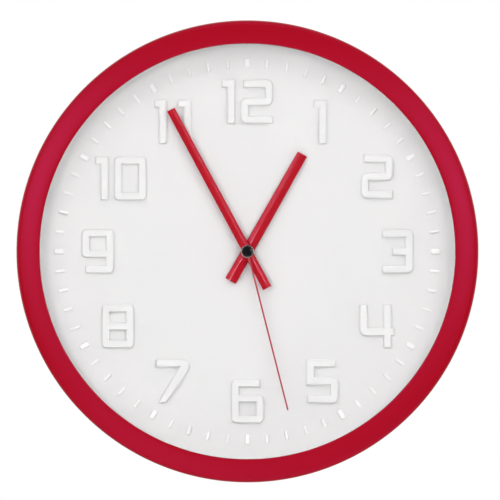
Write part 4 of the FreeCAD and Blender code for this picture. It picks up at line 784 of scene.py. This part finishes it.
def arched_hand(name, tip, tail, tip_width, tail_width, rear, arch, turn, bore):
    """Hand with an arched section, bored for its tube and turned clockwise from twelve."""
    across = 20
    stations = 12
    work = bmesh.new()
    sections = []
    for station in range(stations + 1):
        run = station / stations
        place = -tail + run * (tip + tail)
        half = (tail_width + (tip_width - tail_width) * run) / 2
        drop = math.sqrt(arch * arch - half * half)
        section = []
        for k in range(across + 1):
            x = -half + 2 * half * k / across
            height = rear + hand_side + math.sqrt(arch * arch - x * x) - drop
            section.append(work.verts.new(Vector((x, -height, place)) * MM))
        section.append(work.verts.new(Vector((half, -rear, place)) * MM))
        section.append(work.verts.new(Vector((-half, -rear, place)) * MM))
        sections.append(section)
    count = len(sections[0])
    for low, high in zip(sections, sections[1:]):
        for k in range(count):
            after = (k + 1) % count
            work.faces.new((low[k], low[after], high[after], high[k]))
    work.faces.new(sections[0])
    work.faces.new(sections[-1])
    bmesh.ops.recalc_face_normals(work, faces=work.faces)
    ends = [e for e in work.edges
            if e.calc_face_angle(0) > math.radians(60)]
    bmesh.ops.bevel(work, geom=ends, offset=0.12 * MM, segments=2, profile=0.5, affect="EDGES")
    bmesh.ops.rotate(work, verts=work.verts, cent=(0, 0, 0), matrix=Matrix.Rotation(turn, 3, "Y"))
    bmesh.ops.translate(work, verts=work.verts, vec=(axis_x, 0, axis_z))
    solid = mesh_of("unbored", work)
    drill = bmesh.new()
    bmesh.ops.create_cone(drill, cap_ends=True, segments=48, radius1=bore * MM,
                          radius2=bore * MM, depth=drill_length * MM)
    bmesh.ops.rotate(drill, verts=drill.verts, cent=(0, 0, 0),
                     matrix=Matrix.Rotation(math.radians(90), 3, "X"))
    bmesh.ops.translate(drill, verts=drill.verts, vec=(axis_x, -rear * MM, axis_z))
    bored = cut_away(solid, mesh_of("drill", drill))
    bored.name = name
    return bored


hour_mesh = arched_hand("hour_hand_strip", 73.9, 22.6, 7.0, 7.9, hour_rear, 6.6,
                        math.radians(29.5), hour_tube_radius + press_gap)
even_shading(fit_piece(hour_mesh, hand_red, "hour", ["hour_hand"]))
minute_mesh = arched_hand("minute_hand_strip", 106.5, 27.6, 5.6, 6.2, minute_rear, 4.5,
                          math.radians(331.6), minute_tube_radius + press_gap)
even_shading(fit_piece(minute_mesh, hand_red, "minute", ["minute_hand"]))

# ----------------------------------------------------------
# Second hand: a thin red-lacquered aluminium needle with a round hub and no tail, riveted to a
# brass tube that is pressed on the second arbor.
second_red = moulding("Red needle lacquer", (0.36, 0.004, 0.018), 0.30, tone=0.04,
                      grain=1800.0, bump=0.02, gloss_change=0.06, worn=0.25, dust=0.0, coat=0.3)


def copied(node, name, width=0.0, segments=2):
    """Copy of a node's own shape; with a width, it is merged and rounded along its edges."""
    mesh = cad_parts[node].data.copy()
    if width > 0:
        mesh = soft_edges(mesh, width, segments, math.radians(40))
    mesh.name = name
    return mesh


def fit_copy(node, name, material, body, width=0.0, segments=2, even=False):
    """The node's own shape with its material, riding on its body in the node's place."""
    piece = fit_piece(copied(node, name, width, segments), material, body, [node])
    return even_shading(piece) if even else piece


fit_copy("second_hand", "second_hand_needle", second_red, "second", 0.08)
turned_brass = metal("Turned brass", (0.70, 0.47, 0.19), 0.26, stretch=(0.2, 3.0, 0.2),
                     lines=2600.0, tarnish=0.2, tarnish_colour=(0.32, 0.18, 0.07))
fit_copy("second_hand_tube", "second_tube_turning", turned_brass, "second", 0.05)

# ----------------------------------------------------------
# Cap and washer: a gloss black moulded button with a domed face, clipped over the end of the
# arbor on a bright nickel-plated washer.
cap_radius, cap_back, cap_front = 3.5, 28.8, 30.5
rim_radius, rim_back = 4.25, 28.4
bright_nickel = metal("Bright nickel", (0.50, 0.46, 0.46), 0.16, lines=3000.0, tone=0.1,
                      gloss_change=0.08, bump=0.01, worn=0.0)
cap_black = moulding("Gloss black cap", (0.0025, 0.0025, 0.003), 0.05, tone=0.1, grain=1500.0,
                     bump=0.002, gloss_change=0.02, dust=0.0, gloss_tint=(0.30, 0.30, 0.32))
washer_mesh = turn_section("cap_washer", rounded([
    (0.5, rim_back, 0.05), (0.5, cap_back, 0.05), (rim_radius, cap_back, 0.12),
    (rim_radius, rim_back, 0.12),
]), bright_nickel, segments=72)
fit_piece(washer_mesh, bright_nickel, "second", ["cap_rim"])
dome = arc_from((cap_radius, cap_front - 0.9), (cap_radius - 1.0, cap_front - 0.12), 1.25, 8)
dome += arc_from((cap_radius - 1.02, cap_front - 0.115), (0.0, cap_front), 27.0, 5)
cap_mesh = turn_section("centre_cap", [(0.0, cap_back), (cap_radius - 0.15, cap_back),
                                       (cap_radius, cap_back + 0.15)] + dome,
                        cap_black, segments=72, closed=False)
fit_piece(cap_mesh, cap_black, "second", ["second_hand_cap"])

# ----------------------------------------------------------
# Hanger plate: a galvanised steel stamping with the keyhole that takes the wall screw. Two
# countersunk screws hold it to the long bosses of the dial.
galvanised = metal("Galvanised steel", (0.55, 0.57, 0.58), 0.38, stretch=(0.15, 1.0, 1.0),
                   lines=1800.0, tone=0.35, tarnish=0.35, tarnish_colour=(0.40, 0.41, 0.40))
fit_copy("hanger_plate", "hanger_plate_stamping", galvanised, "clock", 0.18,
         even=True)
fit_copy("hanger_screws", "hanger_screw_set", zinc_plated, "clock")

# ----------------------------------------------------------
# Movement case: black ABS box with the battery bay open at the back, its clipped cover and the
# two screws through its ears into the dial's bosses.
movement_black = moulding("Black movement ABS", (0.016, 0.016, 0.017), 0.42, tone=0.25,
                          grain=1500.0, bump=0.22, gloss_change=0.14, worn=0.5,
                          worn_colour=(0.06, 0.06, 0.06), dust=0.35)
fit_copy("movement_case", "movement_case_moulding", movement_black, "clock",
         0.16, even=True)
fit_copy("movement_cover", "movement_cover_moulding", movement_black, "clock",
         0.16, even=True)
fit_copy("movement_screws", "movement_screw_set", zinc_plated, "clock")

# ----------------------------------------------------------
# Wheel train: gears moulded in natural acetal on fine steel arbors, under a moulded bridge that
# three small screws hold. The tubes and the centre wheel are brass.
natural_acetal = moulding("Natural acetal", (0.74, 0.72, 0.66), 0.36, tone=0.06, grain=1800.0,
                          bump=0.03, gloss_change=0.1, dust=0.0, subsurface=0.2)
bridge_white = moulding("Bridge ABS", (0.66, 0.66, 0.63), 0.44, tone=0.06, grain=1500.0,
                        bump=0.1, gloss_change=0.1, worn=0.3, dust=0.1)
polished_steel = metal("Polished arbor steel", (0.60, 0.60, 0.61), 0.14,
                       stretch=(1.0, 0.1, 1.0), lines=3000.0, worn=0.0)
for node, body in (("second_wheel", "second"), ("intermediate_wheel", "intermediate"),
                   ("rotor_pinion", "rotor"), ("third_wheel", "third"),
                   ("motion_wheel", "motion"), ("hour_wheel", "hour")):
    fit_copy(node, node + "_moulding", natural_acetal, body)
for node, body in (("centre_wheel", "centre"), ("minute_tube", "minute")):
    fit_copy(node, node + "_turning", turned_brass, body)
fit_copy("second_arbor", "second_arbor_pin", polished_steel, "second")
fit_copy("gear_bridge", "gear_bridge_moulding", bridge_white, "clock", 0.12,
         even=True)
fit_copy("bridge_screws", "bridge_screw_set", zinc_plated, "clock")
knob_white = moulding("Setting knob acetal", (0.70, 0.69, 0.65), 0.38, tone=0.06, grain=1700.0,
                      bump=0.06, gloss_change=0.1, worn=0.3, dust=0.15)
fit_copy("setting_knob", "setting_knob_moulding", knob_white, "setting")

# ----------------------------------------------------------
# Stepping motor: a sintered magnet on the rotor, a stamped iron stator and core, and a bobbin
# wound with one continuous lacquered copper wire.
magnet_grey = metal("Sintered magnet", (0.16, 0.16, 0.17), 0.45, lines=900.0, tone=0.4)
stator_iron = metal("Stator iron", (0.42, 0.42, 0.43), 0.36, stretch=(0.1, 1.0, 1.0),
                    lines=1600.0, tarnish=0.3, tarnish_colour=(0.22, 0.18, 0.15))
copper_wire = metal("Lacquered copper wire", (0.60, 0.21, 0.09), 0.24, lines=2500.0, tone=0.3,
                    worn=0.0)
fit_copy("rotor_magnet", "rotor_magnet_ring", magnet_grey, "rotor")
for node in ("stator", "coil_core"):
    fit_copy(node, node + "_stamping", stator_iron, "clock", 0.06, even=True)
fit_copy("coil_bobbin", "coil_bobbin_moulding", bridge_white, "clock")
coil_low, coil_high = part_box("coil_winding")


def winding_tree():
    """Winds one wire along X round a core: a spiral swept by a small round section."""
    tree = new_tree("Wound coil", [
        ("Turns", "NodeSocketFloat"), ("Coil radius", "NodeSocketFloat"),
        ("Coil length", "NodeSocketFloat"), ("Wire radius", "NodeSocketFloat"),
        ("Steps", "NodeSocketInt"), ("Start", "NodeSocketVector"),
        ("Material", "NodeSocketMaterial"),
    ])
    given = add_node(tree, "NodeGroupInput").outputs
    path = add_node(tree, "GeometryNodeCurveSpiral", {
        "Resolution": given["Steps"], "Rotations": given["Turns"],
        "Start Radius": given["Coil radius"], "End Radius": given["Coil radius"],
        "Height": given["Coil length"],
    })
    wire = add_node(tree, "GeometryNodeCurvePrimitiveCircle", {
        "Resolution": 6, "Radius": given["Wire radius"],
    })
    swept = add_node(tree, "GeometryNodeCurveToMesh", {
        "Curve": path.outputs["Curve"], "Profile Curve": wire.outputs["Curve"],
        "Fill Caps": True,
    })
    laid = add_node(tree, "GeometryNodeTransform", {
        "Geometry": swept.outputs["Mesh"], "Translation": given["Start"],
        "Rotation": (0, math.radians(90), 0),
    })
    both = add_node(tree, "GeometryNodeJoinGeometry")
    tree.links.new(laid.outputs[0], both.inputs[0])
    tree.links.new(given["Geometry"], both.inputs[0])
    return end_tree(tree, both.outputs[0], given["Material"])


wire_radius = 0.16 * MM
coil_middle = (coil_low + coil_high) / 2
winding_core = copied("coil_winding", "winding_core")
for vert in winding_core.vertices:
    inward = vert.co - Vector((vert.co.x, coil_middle.y, coil_middle.z))
    if inward.length > (coil_high.z - coil_low.z) / 2 * 0.95:
        vert.co -= inward.normalized() * wire_radius * 1.1
winding = grow("coil_wire", winding_core, winding_tree(), {
    "Turns": (coil_high.x - coil_low.x - 2 * wire_radius) / (2 * wire_radius),
    "Coil radius": (coil_high.z - coil_low.z) / 2 - wire_radius,
    "Coil length": coil_high.x - coil_low.x - 2 * wire_radius, "Wire radius": wire_radius,
    "Steps": 20, "Material": copper_wire,
    "Start": (coil_low.x + wire_radius, coil_middle.y, coil_middle.z),
})
fit_piece(winding, copper_wire, "clock", ["coil_winding"],
          smooth_angle=math.radians(70))

# ----------------------------------------------------------
# Circuit: a small green board with its moulded-over chip and the drawn can of the quartz crystal.


def painted(material):
    """The material's tree, its shader, its colour so far and its coordinates."""
    tree = material.node_tree
    shader = tree.nodes["Principled BSDF"]
    under = shader.inputs["Base Color"].links[0].from_socket
    return tree, shader, under, add_node(tree, "ShaderNodeTexCoord").outputs["Object"]


def board_green_mask():
    """Green solder mask over copper tracks that run in straight steps."""
    material = moulding("Green board", (0.012, 0.12, 0.045), 0.30, tone=0.2, grain=1200.0,
                        bump=0.05, gloss_change=0.1, dust=0.0, coat=0.3)
    tree, shader, under, place = painted(material)
    tracks = add_node(tree, "ShaderNodeTexBrick", {
        "Vector": add_node(tree, "ShaderNodeMapping", {
            "Vector": place, "Rotation": (math.radians(90), 0, 0),
        }).outputs[0],
        "Scale": 260.0, "Mortar Size": 0.06, "Bias": 0.0,
    }).outputs["Fac"]
    shown = mix_colour(tree, maths(tree, "MULTIPLY", tracks, 0.8), under, (0.05, 0.25, 0.08, 1))
    tree.links.new(shown, shader.inputs["Base Color"])
    return material


board_green = board_green_mask()
chip_black = moulding("Chip epoxy", (0.014, 0.014, 0.015), 0.35, tone=0.2, grain=1500.0,
                      bump=0.1, dust=0.0)
crystal_can = metal("Crystal can", (0.66, 0.65, 0.60), 0.22, stretch=(1.0, 1.0, 0.1),
                    lines=2500.0)
fit_copy("circuit_board", "circuit_board_panel", board_green, "clock", 0.08,
         even=True)
fit_copy("chip", "chip_blob", chip_black, "clock", 0.12, 3)
fit_copy("quartz_crystal", "quartz_crystal_can", crystal_can, "clock", 0.1)

# ----------------------------------------------------------
# Battery: one AA cell, a nickel-plated steel can in a plain printed sleeve, held in the bay
# between a flat spring contact and a plus contact.
sleeve_low, sleeve_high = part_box("battery_sleeve")
nickel_steel = metal("Nickel plated can", (0.66, 0.65, 0.63), 0.24, stretch=(0.2, 1.0, 1.0),
                     lines=2200.0)
contact_nickel = metal("Contact strip", (0.64, 0.62, 0.57), 0.26, stretch=(1.0, 1.0, 0.15),
                       lines=2000.0, tarnish=0.2, tarnish_colour=(0.35, 0.30, 0.22))


def printed_sleeve():
    """Shrunk sleeve printed in two bands: a copper-coloured end and a dark grey body."""
    material = moulding("Printed sleeve", (0.030, 0.031, 0.034), 0.24, tone=0.08, grain=900.0,
                        bump=0.03, gloss_change=0.08, worn=0.3, dust=0.2, coat=0.25)
    tree, shader, under, place = painted(material)
    along = add_node(tree, "ShaderNodeSeparateXYZ", {0: place}).outputs["X"]
    band_start = sleeve_high.x - 0.3 * (sleeve_high.x - sleeve_low.x)
    band = maths(tree, "GREATER_THAN", along, band_start)
    line = maths(tree, "COMPARE", along, band_start - 1.2 * MM)
    line.node.inputs[2].default_value = 0.35 * MM
    shown = mix_colour(tree, band, under, (0.42, 0.17, 0.055, 1))
    shown = mix_colour(tree, line, shown, (0.55, 0.50, 0.42, 1))
    tree.links.new(shown, shader.inputs["Base Color"])
    return material


battery_sleeve = printed_sleeve()
fit_copy("battery", "battery_can", nickel_steel, "clock")
fit_copy("battery_sleeve", "battery_sleeve_film", battery_sleeve, "clock")
for node in ("battery_contact_plus", "battery_contact_minus"):
    fit_copy(node, node + "_strip", contact_nickel, "clock")

# ----------------------------------------------------------
# Studio: a plain pale floor well below the clock, a surround that is white to the eye and dark in
# front of the clock, softboxes at the sides, above, below and in front, and a long lens that
# looks straight at the dial.
floor_drop, floor_reach = 0.90, 3.0
floor_work = bmesh.new()
bmesh.ops.create_circle(floor_work, cap_ends=True, segments=96, radius=floor_reach)
bmesh.ops.translate(floor_work, verts=floor_work.verts, vec=(0, 0, ring_low.z - floor_drop))
floor_mesh = mesh_of("studio_floor", floor_work)
studio_floor = bpy.data.objects.new("studio_floor", floor_mesh)
bpy.context.scene.collection.objects.link(studio_floor)
floor_pale = moulding("Pale floor", (0.82, 0.82, 0.82), 0.7, tone=0.02, grain=300.0, bump=0.02,
                      dust=0.0)
floor_mesh.materials.append(floor_pale)

world = bpy.data.worlds.new("white_surround")
world.use_nodes = True
bpy.context.scene.world = world
surround = world.node_tree
seen = surround.nodes["Background"]
seen.inputs["Color"].default_value = (1, 1, 1, 1)
seen.inputs["Strength"].default_value = 1.0
behind = add_node(surround, "ShaderNodeSeparateXYZ", {
    0: add_node(surround, "ShaderNodeTexCoord").outputs["Generated"],
}).outputs["Y"]
backdrop_glow = add_node(surround, "ShaderNodeMapRange", {
    "Value": behind, "From Min": -0.15, "From Max": 0.25, "To Min": 0.05, "To Max": 1.0,
}).outputs[0]
room = add_node(surround, "ShaderNodeBackground", {
    "Color": (1.0, 1.0, 1.0, 1), "Strength": backdrop_glow,
})
room_ray = add_node(surround, "ShaderNodeLightPath")
room_mix = add_node(surround, "ShaderNodeMixShader", {
    0: room_ray.outputs["Is Camera Ray"], 1: room.outputs[0], 2: seen.outputs[0],
})
surround.links.new(room_mix.outputs[0], surround.nodes["World Output"].inputs["Surface"])

clock_middle = Vector((axis_x, -ring_depth * MM / 2, axis_z))


def soft_light(name, place, width, height, power):
    """Large rectangular softbox aimed at the clock."""
    light = bpy.data.lights.new(name, "AREA")
    light.shape = "RECTANGLE"
    light.size, light.size_y = width, height
    light.energy = power
    lamp = bpy.data.objects.new(name, light)
    lamp.location = clock_middle + Vector(place)
    lamp.rotation_euler = (-Vector(place)).to_track_quat("-Z", "Y").to_euler()
    lamp.visible_camera = False
    bpy.context.scene.collection.objects.link(lamp)
    return lamp


for name, place, width, height, power in (
    ("wall_left", (-1.35, -0.70, 0.50), 1.4, 1.3, 4.0),
    ("wall_right", (1.35, -0.70, 0.50), 1.4, 1.3, 4.0),
    ("ceiling_panel", (0.0, -0.80, 1.35), 1.8, 1.4, 3.6),
    ("low_panel", (0.0, -1.10, -0.85), 1.8, 0.8, 2.6),
    ("key_left", (-1.15, -1.75, 0.95), 0.6, 0.6, 4.4),
    ("key_right", (1.15, -1.75, 0.95), 0.6, 0.6, 4.4),
    ("above", (0.0, -1.45, 1.45), 0.9, 0.5, 4.0),
    ("front_left", (-0.66, -2.15, 0.22), 0.26, 0.30, 5.6),
    ("front_right", (0.66, -2.15, 0.18), 0.26, 0.30, 5.2),
    ("front_low", (-0.26, -2.20, -0.58), 0.26, 0.20, 1.8),
):
    soft_light(name, place, width, height, power)

frame_width = 0.32985
camera_distance = 8.0
camera_aside, camera_above = 1.7 * MM, 0.9 * MM
camera_data = bpy.data.cameras.new("camera")
camera_data.sensor_width = 36.0
camera_data.lens = camera_data.sensor_width * camera_distance / frame_width
camera = bpy.data.objects.new("camera", camera_data)
camera.location = (axis_x + camera_aside, ring_low.y - camera_distance, axis_z + camera_above)
camera.rotation_euler = (math.radians(90), 0, 0)
bpy.context.scene.collection.objects.link(camera)
bpy.context.scene.camera = camera
bpy.context.scene.view_settings.view_transform = "Standard"
